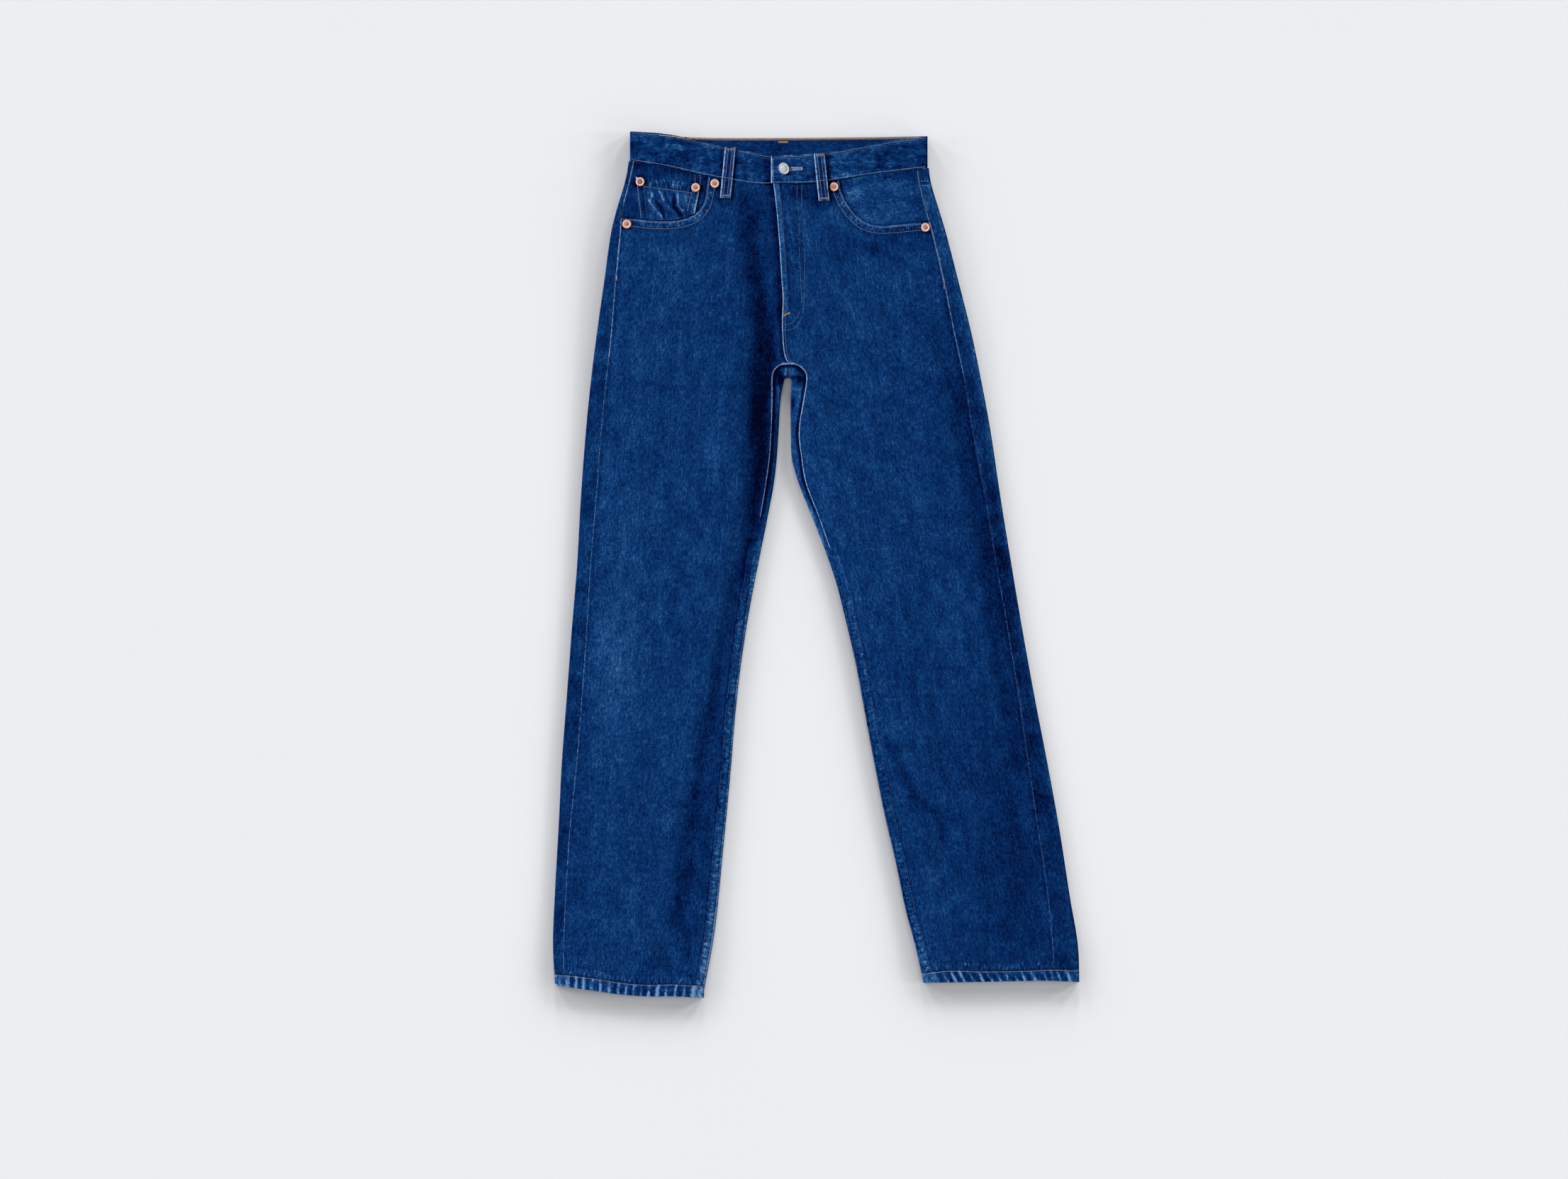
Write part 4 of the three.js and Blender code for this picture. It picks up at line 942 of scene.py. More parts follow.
def along_x(line, start, end, steps=40, drop=0.0):
    """Points on a line that runs across, moved down by drop."""
    x = np.linspace(start, end, steps)
    return np.stack([x, line(x) - drop], 1)


def yoke_line(side, inset=0.0):
    """The yoke's seam, from the centre back to inset from the side edge."""
    side_x = side.edge(YOKE_AT_SIDE) - side.out * inset
    return np.array([[centre_back_x(side), YOKE_AT_CENTRE], [side_x, YOKE_AT_SIDE]])


def centre_path(top, foot, step=6):
    y = np.arange(top, foot, -step, dtype=float)
    return np.stack([centre_front(y), y], 1)


def add_front(side):
    outer, inner = front_ends(side)
    outer[:, 0] -= side.out * SEAM_GAP / 2
    inner[:, 0] += side.out * SEAM_GAP / 2
    if side is RIGHT:
        inner[:, 0] += fly_lap(inner[:, 1])
    shares = shares_with_fine_ends(FRONT_COLUMNS, 7, 0.25)
    x = lerp(outer[:, :1], inner[:, :1], shares)
    y = lerp(outer[:, 1:], inner[:, 1:], shares)
    top = side.waist(x[0])
    if side is RIGHT:
        top = np.where(x[0] > RIGHT_FRONT_TOP_X, RIGHT_FRONT_TOP_Y, top)
    easing = np.clip(1 - np.arange(len(y)) / 10, 0, 1)[:, None]
    y = y + (top - y[0])[None, :] * easing
    leg_share = np.full(len(y), -1.0)
    leg_share[-ROWS_LEG:] = np.linspace(0, 1, ROWS_LEG)
    y = bow_to_hem(side, x, y, leg_share)
    wall = flat_wall(x, y, front_height(side, x, y))
    wall.grain = leg_grain(side, x, y, 0, 0)
    wall.fade = dye_and_shading_at(x, y)
    add_front_details(side, wall)
    hand_over(wall, "front_" + side.name, "denim_front")


def add_front_details(side, wall):
    """Seams, worn edges and shade on a front."""
    look = side.look
    opening = through(side.opening, np.linspace(0, len(side.opening) - 1, 60))
    mark_seam(wall, opening, half=3.5, strength=1.7, wear=0.10, lift=0.5, offset=5.2)
    mark_edge(wall, opening, 1.0, 0.85)
    mark_shade(wall, opening, 11.5, 1.6, 0.10)
    inseam = inseam_path(side)
    low = inseam[40:]
    mark_seam(wall, low, half=4.6, strength=1.1, wear=0.12, lift=0.7, offset=4.4)
    mark_edge(wall, inseam[:look["arch_points"]], 1.0, 1.5)
    away, _ = distance_to(low, wall.x, wall.y)
    hemward = smooth(-wall.y, 300, 480)
    felled = (1 - smooth(away, 4, 8)) * smooth(-wall.y, -20, 60)
    wall.fade += felled * (look["felled"] + 0.10 * hemward)
    mark_edge(wall, low, 0.9, look["inseam_edge"])
    mark_edge(wall, inseam[36:56] + [side.out * 6, 0], 0.9, look["fork_edge"])
    mark_shade(wall, inseam[36:], 9.2, 1.5, look["inseam_shade"])
    waist = along_x(side.waist, side.opening[0, 0], centre_front(WAIST_CENTRE), 30)
    mark_seam(wall, waist, half=5, strength=0.5, wear=0.05, offset=3)
    outseam = side_path(side, side.corner_y, SIDE_FOOT)
    mark_edge(wall, outseam[:16], 1.1, look["pocket_edge"])
    mark_edge(wall, outseam, 1.0, look["outseam_edge"])
    mark_shade(wall, outseam, 3.4, 1.6, 0.10)
    mark_seam(wall, outseam, half=4.5, strength=0.3, offset=4)
    hem = along_x(side.hem_upper, side.seam(HEM_MIDDLE), side.inner_seam(HEM_MIDDLE))
    mark_seam(wall, hem, half=6, strength=1.2, wear=0.1, offset=4)
    for loop in FRONT_LOOPS:
        path = np.array([(loop["end_x"], WAIST_CENTRE), (loop["end_x"], loop["end_y"])])
        mark_shade(wall, path, 8.5, 3.0, 0.16)
    if side is LEFT:
        fly = centre_path(WAIST_CENTRE, FLY_END - 4)
        mark_seam(wall, fly, half=3.4, strength=0.4, wear=0.10, lift=0.7, offset=3.4)
        mark_edge(wall, fly, 1.1, 1.4)
        mark_edge(wall, fly + [6.4, 0], 0.9, 0.28)
        away, _ = distance_to(fly, wall.x, wall.y)
        wall.fade += 0.19 * (1 - smooth(away, 5, 8)) * (1 + 0.6 * noise(wall.x, wall.y, 5, 18, 15))
        mark_shade(wall, fly + [9.0, 0], 0, 1.6, 0.12)
        stand = bell(wall.x - centre_front(wall.y) - 17, 9) * smooth(wall.y, 330, 350)
        wall.crease = np.maximum(wall.crease, 0.8 * stand)
    else:
        mark_shade(wall, centre_path(WAIST_CENTRE, FLY_END - 4), 0, 8, 0.36)
    below = centre_path(FLY_END + 4, CROTCH_Y - 2, 4)
    if side is LEFT:
        mark_edge(wall, below, 1.0, 1.2)
        mark_edge(wall, below + [4.0, 0], 0.8, 0.3)
        mark_seam(wall, below, half=3.0, strength=0.6, wear=0.08, lift=0.6, offset=2.8)
        mark_shade(wall, below + [1.9, 0], 0, 0.9, 0.2)
    else:
        mark_shade(wall, below, 1.2, 2.4, 0.35)


# The back panels and yokes, which wrap round the side edges

STRIP_STEPS = 13
BEND_STEPS = 9
UNDER_COLUMNS = 26
TAIL_STEPS = BEND_STEPS + STRIP_STEPS


class Row:
    """One row of a wrapping panel, built up point by point."""

    def __init__(self):
        self.points = []
        self.normals = []

    def add(self, x, y, z, nx=0.0, ny=0.0, nz=1.0):
        x, y, z, nx, ny, nz = np.broadcast_arrays(x, y, z, nx, ny, nz)
        self.points.append(np.stack([x, y, z], -1))
        self.normals.append(np.stack([nx, ny, nz], -1))

    def arrays(self):
        return np.concatenate(self.points), np.concatenate(self.normals)


def add_bend(row, x, y, out_x, out_y, start, end, steps):
    """A folded edge from one layer to the other. out is the way out in plan."""
    radius = bend_radius(y)
    angle = np.radians(lerp(start, end, np.arange(1, steps + 1) / steps))
    out = np.cos(angle)
    z = under_middle(y) + radius * (1 + np.sin(angle))
    row.add(x + out_x * radius * out, y + out_y * radius * out, z, out_x * out, out_y * out, np.sin(angle))


def add_side(row, side, y):
    """From the side seam over the folded side edge. Returns the bend's centre."""
    seam_x = side.seam(y) + side.out * SEAM_GAP / 2
    centre_x = side.edge(y) - side.out * edge_inset(y)
    x = lerp(seam_x, centre_x, shares_with_fine_ends(STRIP_STEPS, 3, 0.4))
    row.add(x, y, top_middle(x, y + 0 * x))
    add_bend(row, centre_x, y, side.out, 0.0, 90, -90, BEND_STEPS)
    return centre_x


def add_under(row, x0, y0, x1, y1, steps):
    u = np.arange(1, steps + 1) / steps
    y = lerp(y0, y1, u)
    row.add(lerp(x0, x1, u), y, under_middle(y), 0.0, 0.0, -1.0)


def centre_back_x(side):
    return CENTRE_BACK + side.out * SEAM_GAP / 2


def seat_row(side, side_y, centre_y, tail):
    row = Row()
    centre_x = add_side(row, side, side_y)
    end_x = centre_back_x(side)
    turn_x = end_x + side.out * tail
    turn_y = lerp(centre_y, side_y, tail / abs(end_x - centre_x))
    add_under(row, centre_x, side_y, turn_x, turn_y, UNDER_COLUMNS)
    add_under(row, turn_x, turn_y, end_x, centre_y, TAIL_STEPS)
    return row.arrays()


def wrap_row(side, side_y, turn, normal, end):
    row = Row()
    centre_x = add_side(row, side, side_y)
    add_under(row, centre_x, side_y, turn[0], turn[1], UNDER_COLUMNS)
    add_bend(row, turn[0], turn[1], normal[0], normal[1], -90, 90, BEND_STEPS)
    u = np.arange(1, STRIP_STEPS + 1) / STRIP_STEPS
    x, y = lerp(turn[0], end[0], u), lerp(turn[1], end[1], u)
    row.add(x, y, top_middle(x, y))
    return row.arrays()


def tip_row(side):
    row = Row()
    side_y = FORK_LINES["side"][0]
    centre_x = add_side(row, side, side_y)
    x = centre_back_x(side)
    y = FORK_Y + FORK_RADIUS + edge_inset(FORK_Y)
    add_under(row, centre_x, side_y, x, y, UNDER_COLUMNS)
    add_bend(row, x, y, 0.0, -1.0, -90, 0, TAIL_STEPS)
    return row.arrays()


def fork_row(side, station):
    """A row that turns over the fork's edge, at a place counted in fork lines."""
    stations = np.arange(FORK_STATIONS)
    at = lambda key: np.interp(station, stations, FORK_LINES[key])
    angle = math.radians(90 - side.out * at("angle"))
    away = (math.cos(angle), math.sin(angle))
    reach = FORK_RADIUS + edge_inset(FORK_Y)
    turn = (FORK_X + away[0] * reach, FORK_Y + away[1] * reach)
    if station < FORK_JUNCTION:
        end = (centre_back_x(side), at(side.name + "_y"))
    else:
        end = arch_line(side, np.array([station - FORK_JUNCTION]))[0] - [side.out * SEAM_GAP / 2, 0]
    return wrap_row(side, at("side"), turn, (-away[0], -away[1]), end)


def leg_row(side, u):
    side_y, y = leg_heights(side, u)
    turn = (side.inner_edge(y) + side.out * edge_inset(y), y)
    end = (side.inner_seam(y) - side.out * SEAM_GAP / 2, y)
    return wrap_row(side, side_y, turn, (-side.out, 0.0), end)


def wrapped_wall(rows, side):
    middle = np.stack([row[0] for row in rows])
    normal = np.stack([row[1] for row in rows])
    wall = Wall(middle, normal, CLOTH)
    nz = wall.normal[..., 2]
    wall.grain = leg_grain(side, wall.x, wall.y, nz, 50)
    wall.fade = dye_and_shading_at(wall.x, wall.y) * (nz > 0) - 0.05
    mottle = noise(0 * wall.x, wall.y, 1, 14, 71 + side.out)
    outer_strip = (nz > -0.5) & (np.abs(wall.x - side.seam(wall.y)) < 24)
    from_edge = np.abs(wall.x - side.edge(wall.y))
    # At the folded side edge: painted shade along the right leg's rim, a paler rim on the left leg.
    rim = 0.15 * bell(from_edge, 4.5) if side is LEFT else -0.10 * bell(from_edge, 2.4)
    wall.fade += np.where(outer_strip, 0.08 * mottle + rim, 0)
    return wall


def add_back(side):
    rows = []
    for u in np.linspace(0, 1, 14, endpoint=False):
        top = SEAM_GAP * (1 - u)
        side_y = lerp(YOKE_AT_SIDE, side.corner_y, u) - top
        rows.append(seat_row(side, side_y, lerp(YOKE_AT_CENTRE, CORNER_BACK, u) - top, 40))
    for u in np.linspace(0, 1, 50):
        side_y = lerp(side.corner_y, HIP_END, u)
        rows.append(seat_row(side, side_y, lerp(CORNER_BACK, SEAT_END, u), lerp(40, 6, u)))
    rows.append(tip_row(side))
    for station in np.linspace(0.6, FORK_STATIONS - 1, 30):
        rows.append(fork_row(side, station))
    leg_share = np.linspace(0, 1, 240)
    for u in leg_share:
        rows.append(leg_row(side, u))
    wall = wrapped_wall(rows, side)
    share = np.full(len(rows), -1.0)
    share[-len(leg_share):] = leg_share
    wall.middle[..., 1] = bow_to_hem(side, wall.x, wall.y, share)
    outseam = side_path(side, YOKE_AT_SIDE, SIDE_FOOT)
    mark_edge(wall, outseam, 0.7, 0.25)
    mark_seam(wall, outseam, half=4.5, strength=0.3, offset=4)
    shape_crotch(side, wall)
    centre = np.array([[CENTRE_BACK, y] for y in np.arange(232, 415, 12)])
    mark_seam(wall, centre, half=5.5, strength=0.7, wear=0.08, offset=5)
    mark_seam(wall, yoke_line(side), half=5, strength=0.7, wear=0.08, offset=4.5)
    hand_over(wall, "back_" + side.name, "denim_back")


def shape_crotch(side, wall):
    """The inner strip of the back: painted shade in a groove beside the inseam, beside the saddle and in the
    hollows round the fork, a paler band at the folded edge, and a raised saddle over the fork.
    """
    look = side.look
    on_top = (wall.normal[..., 2] > -0.2) * 1.0
    inseam = inseam_path(side, 8)
    away, along = distance_to(inseam, wall.x, wall.y)
    high = smooth(wall.y, -10, 60)
    from_fold = np.abs(wall.x - side.inner_edge(wall.y))
    # A paler band along the folded inner edge: painted highlight, partly wear.
    glow = bell(from_fold, look["fold_width"]) * on_top
    low_share = 1 - smooth(wall.y, 30, 90)
    near_fork = bell(wall.y - 25, 45)
    wall.fade += glow * (0.26 * (low_share if side is RIGHT else near_fork))
    # Painted shade in a groove beside the inseam.
    groove = bell(away - 1.8, 1.7) * smooth(wall.y, 30, 90)
    wall.fade += on_top * (look["strip"] * high - 0.62 * groove)
    felled = (1 - high) * smooth(-away, -9, -5) * on_top
    wall.pucker = np.maximum(wall.pucker, 0.9 * felled)
    wall.seam[..., 1] = np.where(felled > 0, along, wall.seam[..., 1])
    wall.fade += felled * look["strip_felled"] + 0.16 * felled * smooth(-wall.y, 380, 480)
    from_middle = wall.x - CENTRE_BACK - 1.5
    saddle = bell(from_middle, 9) * smooth(wall.y, 225, 229) * (1 - smooth(wall.y, 235, 240))
    wall.proud += 1.5 * saddle * on_top
    wall.fade -= 0.02 * saddle * on_top
    # Painted shade in the recesses on both sides of the saddle.
    beside = bell(np.abs(from_middle) - 13, 4.5) * smooth(wall.y, 222, 227)
    wall.fade -= 0.22 * beside * (1 - smooth(wall.y, 236, 240)) * on_top
    for x, y, across, up, strength in FORK_SHADING:
        wall.fade -= strength * spot(wall.x - x, across, wall.y - y, up) * on_top


def add_yoke(side):
    rows = []
    waist_side = side.waist(side.edge(WAIST_SIDE))
    for u in shares_with_fine_ends(22, 3):
        side_y = lerp(waist_side, YOKE_AT_SIDE, u)
        row = Row()
        centre_x = add_side(row, side, side_y)
        end_y = lerp(band_back_lower(CENTRE_BACK) - BAND_SEAM_GAP, YOKE_AT_CENTRE, u)
        add_under(row, centre_x, side_y, centre_back_x(side), end_y, UNDER_COLUMNS + TAIL_STEPS)
        points, normals = row.arrays()
        on_top = np.arange(len(points)) < STRIP_STEPS + 1 + BEND_STEPS
        waist = np.where(on_top, side.waist(points[:, 0]), band_back_lower(points[:, 0]) - BAND_SEAM_GAP)
        points[:, 1] = lerp(waist, points[:, 1], smooth(u, 0, 0.5))
        rows.append((points, normals))
    wall = wrapped_wall(rows, side)
    outseam = side_path(side, WAIST_SIDE, 455, 5)
    mark_edge(wall, outseam, 0.7, 0.3)
    mark_edge(wall, yoke_line(side), 1.0, 0.5)
    mark_seam(wall, yoke_line(side), half=5, strength=0.7, wear=0.08, offset=4.5)
    hand_over(wall, "yoke_" + side.name, "denim_back")


# Pockets

def opening_height(side, x):
    """Height of the opening at x. Before its first point it is endlessly high."""
    points = side.opening[np.argsort(side.opening[:, 0])]
    height = np.interp(x, points[:, 0], points[:, 1])
    beyond = (x - side.opening[0, 0]) * side.out < 0
    return np.where(beyond, np.inf, height)


def facing_middle(side, x, y):
    path = through(side.opening, np.linspace(0, len(side.opening) - 1, 40))
    away, _ = distance_to(path, x, y)
    near_opening = 1 - smooth(away, 10, 24)
    under = np.where(y < opening_height(side, x), 1.0, 0.0)
    drop = LAP_DROP * np.maximum(LEAST_DROP_SHARE, np.maximum(near_opening, under))
    return top_middle(x, y) - drop


def add_facing(side):
    rows, columns = 54, 64
    last = len(side.opening) - 1
    places = np.linspace(0, last, columns)
    line = through(side.opening, places)
    tangent = np.gradient(line, axis=0)
    tangent /= np.linalg.norm(tangent, axis=1)[:, None]
    lapped = line + side.out * POCKET_LAP * np.stack([tangent[:, 1], -tangent[:, 0]], 1)
    lap = np.minimum(1, (last - places) / 2)[:, None]
    foot = lerp(line, lapped, lap)
    waist_side = side.waist(side.edge(WAIST_SIDE))
    u = (last - places) / last
    top_x = lerp(side.seam(waist_side), foot[0, 0], u)
    top_y = side.waist(top_x)
    down = np.linspace(0, 1, rows)[:, None]
    x = lerp(top_x[None, :], foot[None, :, 0], down)
    y = lerp(top_y[None, :], foot[None, :, 1], down)
    side_y = lerp(waist_side, side.corner_y, down[:, 0])
    seam_x = side.seam(side_y) - side.out * SEAM_GAP / 2
    pull = smooth(places, last - 3, last)[None, :]
    x = x + (seam_x - x[:, -1])[:, None] * pull
    wall = flat_wall(x, y, facing_middle(side, x, y))
    across, down_cloth = (y - 0.1 * x, 1.7 * x) if side is LEFT else (x, y)
    wall.grain = np.stack([across, down_cloth, 0 * x + 90], -1)
    wall.fade = 0.10 + 0.12 * noise(x - 0.8 * y, y, 22, 9, 11) + dye_and_shading_at(x, y)
    if side is RIGHT:
        wall.fade -= 0.17
    away, _ = distance_to(line, x, y)
    # Painted shade along the opening, under the front's edge.
    wall.fade -= 0.22 * bell(away, 2.6)
    wall.crease = 0 * x + (0.55 if side is LEFT else 0.3)
    waist = along_x(side.waist, top_x.min(), top_x.max(), 30)
    mark_seam(wall, waist, half=4, strength=0.4, offset=2.5)
    mark_edge(wall, side_path(side, WAIST_SIDE, 410, 6), 1.1, 1.2)
    mark_shade(wall, waist, 2, 7, 0.14)
    mark_shade(wall, side_path(side, WAIST_SIDE, 410, 6), 6, 7, 0.10)
    hand_over(wall, "pocket_facing_" + side.name, "denim_pocket")


def coin_middle(x, y):
    return facing_middle(RIGHT, x, y) + CLOTH + COIN_GAP


def coin_corners():
    """Top and foot of the coin pocket's left edge, then of its right edge."""
    left_top = (COIN["left_x"], COIN["left_y"])
    left_foot = (COIN["foot_left"], COIN["foot_left_y"])
    right_top = (COIN["right_x"], COIN["right_y"])
    right_foot = (COIN["foot_right"], COIN["foot_right_y"])
    return left_top, left_foot, right_top, right_foot


def add_coin_pocket():
    u = shares_with_fine_ends(64, 5)[None, :]
    v = shares_with_fine_ends(46, 4)[:, None]
    top_x = lerp(COIN["left_x"], COIN["right_x"], u)
    top_y = lerp(COIN["left_y"], COIN["right_y"], u)
    foot_x = lerp(COIN["foot_left"], COIN["foot_right"], u)
    foot_y = opening_height(RIGHT, foot_x) + 1.2
    x, y = lerp(top_x, foot_x, v), lerp(top_y, foot_y, v)
    body = smooth(v, 0.2, 0.34) * smooth(u, 0.12, 0.2) * (1 - smooth(u, 0.84, 0.9))
    wrinkles = along_chains(COIN_FOLDS, x, y) * body
    rumples = 0.4 * noise(x + 0.35 * y, y, 6, 12, 21) * body
    wall = flat_wall(x, y, coin_middle(x, y))
    wall.proud = 0.35 + 0.9 * wrinkles + rumples
    wall.grain = np.stack([x, y, 0 * x + 120], -1)
    # The wrinkles' tone follows their heights: painted light on the rises, painted shade between them.
    wall.fade = 0.02 + 0.72 * wrinkles + 0.24 * rumples + dye_and_shading_at(x, y)
    wall.crease = 0.7 * body
    (ax, ay), (bx, by), (cx, cy), (dx, dy) = coin_corners()
    mark_seam(wall, [(cx, cy), (dx, dy)], half=6, strength=0.8, wear=0.10, lift=0.2, offset=5)
    mark_seam(wall, [(ax, ay), (bx, by)], half=6, strength=0.5, lift=0.2, offset=5)
    mark_shade(wall, [(ax, ay), (bx, by)], 7.5, 4, 0.20)
    mark_shade(wall, [(cx, cy), (dx, dy)], 10.5, 1.2, 0.14)
    mark_seam(wall, [(ax, ay), (cx, cy)], half=5.0, strength=1.9, wear=0.06, lift=0.5, offset=5.2)
    scallop = 0.55 + 0.45 * noise(x, 0 * y, 2.2, 1, 23)
    top_away, _ = distance_to([(ax, ay), (cx, cy)], x, y)
    wall.wear = np.maximum(wall.wear, 0.8 * scallop * bell(top_away, 1.2))
    mark_edge(wall, [(ax, ay), (bx, by)], 1.0, 0.5)
    mark_edge(wall, [(cx, cy), (dx, dy)], 1.6, 1.4)
    mark_edge(wall, [(ax, ay), (ax + 1, ay - 2)], 2.6, 1.2)
    hand_over(wall, "coin_pocket", "denim_pocket")


def back_pocket_point(side, u, v):
    """A place on a back pocket: u across it, v down it."""
    half = BACK_POCKET["width"] / 2 - BACK_POCKET["taper"] * v
    away = BACK_POCKET["inner"] + BACK_POCKET["width"] / 2 + lerp(-half, half, u)
    slope = (YOKE_AT_SIDE - YOKE_AT_CENTRE) / YOKE_RUN
    top = YOKE_AT_CENTRE + slope * away - BACK_POCKET["below"]
    depth = lerp(BACK_POCKET["side"], BACK_POCKET["point"], 1 - abs(2 * u - 1))
    return CENTRE_BACK + side.out * away, top - depth * v


def back_pocket_outline(side, inset):
    """Side, point and side of a back pocket, moved in by inset."""
    share = inset / BACK_POCKET["width"]
    foot = 1 - inset / BACK_POCKET["point"]
    places = [(share, 0.0), (share, foot), (0.5, foot), (1 - share, foot), (1 - share, 0.0)]
    return [back_pocket_point(side, u, v) for u, v in places]


def add_back_pocket(side):
    thickness = PATCH_ROOM - SEAM_GAP
    u = shares_with_fine_ends(48, 4)[None, :]
    v = shares_with_fine_ends(44, 4)[:, None]
    x, y = back_pocket_point(side, u, v)
    x, y = np.broadcast_arrays(x, y)
    wall = flat_wall(x, y, np.full(x.shape, thickness / 2), thickness, -UP)
    wall.grain = np.stack([x, y, 0 * x + 150], -1)
    wall.fade = 0.02 + 0.05 * noise(x, y, 30, 40, 31)
    outline = back_pocket_outline(side, 0)
    mark_edge(wall, outline, 1.2, 0.6)
    mark_seam(wall, outline, half=5, strength=0.8, wear=0.1, offset=4.5)
    top = [back_pocket_point(side, 0, 0), back_pocket_point(side, 1, 0)]
    mark_edge(wall, top, 1.2, 0.6)
    mark_seam(wall, top, half=7, strength=0.8, wear=0.1, offset=7)
    hand_over(wall, "back_pocket_" + side.name, "denim_back")


# Waistband, hems and loops

BAND_UNDER = PATCH_ROOM + BAND_CLOTH / 2
BAND_TOP = BAND_FRONT_TOP - BAND_CLOTH / 2


def band_lap_raise(x):
    return (BAND_CLOTH + SEAM_GAP) * (1 - smooth(x, -12, 26))


def add_waistband():
    radius = (BAND_TOP - BAND_UNDER) / 2
    inset = radius + BAND_CLOTH / 2
    right_edge, left_edge = BAND_RIGHT["x"][0], BAND_LEFT["x"][-1]
    columns = []

    def front(side, start, end, steps):
        x = lerp(start, end, shares_with_fine_ends(steps, 3))
        flat = 0 * x
        z = BAND_TOP + (band_lap_raise(x) if side is LEFT else flat)
        columns.append((x, z, flat, flat + 1, side.band_upper(x), side.band_lower(x), flat + 1))

    def turn(side, centre_x, start, end):
        angle = np.radians(lerp(start, end, np.arange(1, 12) / 12))
        nx, nz = side.out * np.cos(angle), np.sin(angle)
        x = centre_x + nx * radius
        z = BAND_UNDER + radius * (1 + nz)
        columns.append((x, z, nx, nz, side.band_upper(x), side.band_lower(x), 0 * x))

    front(RIGHT, BAND_END_RIGHT, right_edge + inset, 118)
    turn(RIGHT, right_edge + inset, 90, -90)
    x = np.linspace(right_edge + inset, left_edge - inset, 110)
    flat = 0 * x
    columns.append((x, flat + BAND_UNDER, flat, flat - 1, band_back_upper(x), band_back_lower(x), flat - 1))
    turn(LEFT, left_edge - inset, -90, 90)
    front(LEFT, left_edge - inset, BAND_END_LEFT, 104)
    x, z, nx, nz, upper, lower, face = (np.concatenate(parts) for parts in zip(*columns))
    v = shares_with_fine_ends(22, 4)[:, None]
    y = lerp(upper[None, :], lower[None, :], v)
    ones = np.ones_like(y)
    length = np.concatenate([[0], np.cumsum(np.hypot(np.diff(x), np.diff(z)))])
    along = length[None, :] * ones
    middle = np.stack([x * ones, y, z * ones], -1)
    wall = Wall(middle, np.stack([nx * ones, 0 * y, nz * ones], -1), BAND_CLOTH)
    on_top = (face > 0)[None, :] * ones
    round_edges = 1 - 0.45 * (np.exp(-v * BAND_HEIGHT / 1.2) + np.exp(-(1 - v) * BAND_HEIGHT / 1.2))
    crumple = 0.35 * noise(along, y, 9, 12, 41) + 0.2 * noise(along, y, 4, 6, 43)
    wall.proud = on_top * (crumple - 0.6 * (1 - round_edges))
    wall.grain = np.stack([y, 1.25 * length[None, :] * ones, 0 * y + 200], -1)
    loop_middles = [lerp(loop["top_x"], loop["end_x"], 0.5) for loop in FRONT_LOOPS]
    beside = np.min([np.abs(x - loop_middle) for loop_middle in loop_middles], axis=0)
    blotch = noise(along, y, 15, 9, 42) + 0.7 * noise(along, y, 8, 6, 44)
    wall.fade = 0.14 * blotch - 0.05 * bell(v - 0.5, 0.3) * ones
    # Painted shade beside each belt loop.
    wall.fade -= 0.28 * bell(beside[None, :] - 7.5, 2.6) * on_top
    from_end = (length[-1] - length)[None, :] * ones
    # Painted shade beside the lapped end of the left band.
    wall.fade -= 0.30 * bell(along - 38, 7)
    wall.fade += 0.10 * smooth(from_end, 0, 40) * (1 - smooth(from_end, 150, 190))
    # Dark above the buttonhole, pale under the button.
    wall.fade -= 0.14 * spot(x[None, :] + 12, 14, y - 491, 6) * on_top
    wall.fade += 0.12 * spot(x[None, :] + 32, 13, y - 468, 5) * on_top
    wall.crease = 0.85 * ones
    wall.inner_dye_and_shading = -0.06
    wall.seam = np.stack([0 * y, along, 0 * y], -1)
    from_upper, from_lower = v * BAND_HEIGHT * ones, (1 - v) * BAND_HEIGHT * ones
    wall.pucker = 0.75 * (1 - smooth(from_lower, 5, 11)) + 0.35 * (1 - smooth(from_upper, 3, 7))
    uneven = 0.75 + 0.35 * noise(along, 0 * y, 16, 1, 45)
    from_edge = np.minimum(v, 1 - v) * BAND_HEIGHT * ones
    wall.wear = 0.75 * uneven * bell(from_edge, 0.8)
    ends = np.minimum(length, length[-1] - length)[None, :] * ones
    wall.wear = np.maximum(wall.wear, 1.5 * bell(ends, 1.7))
    hand_over(wall, "waistband", "denim_band")


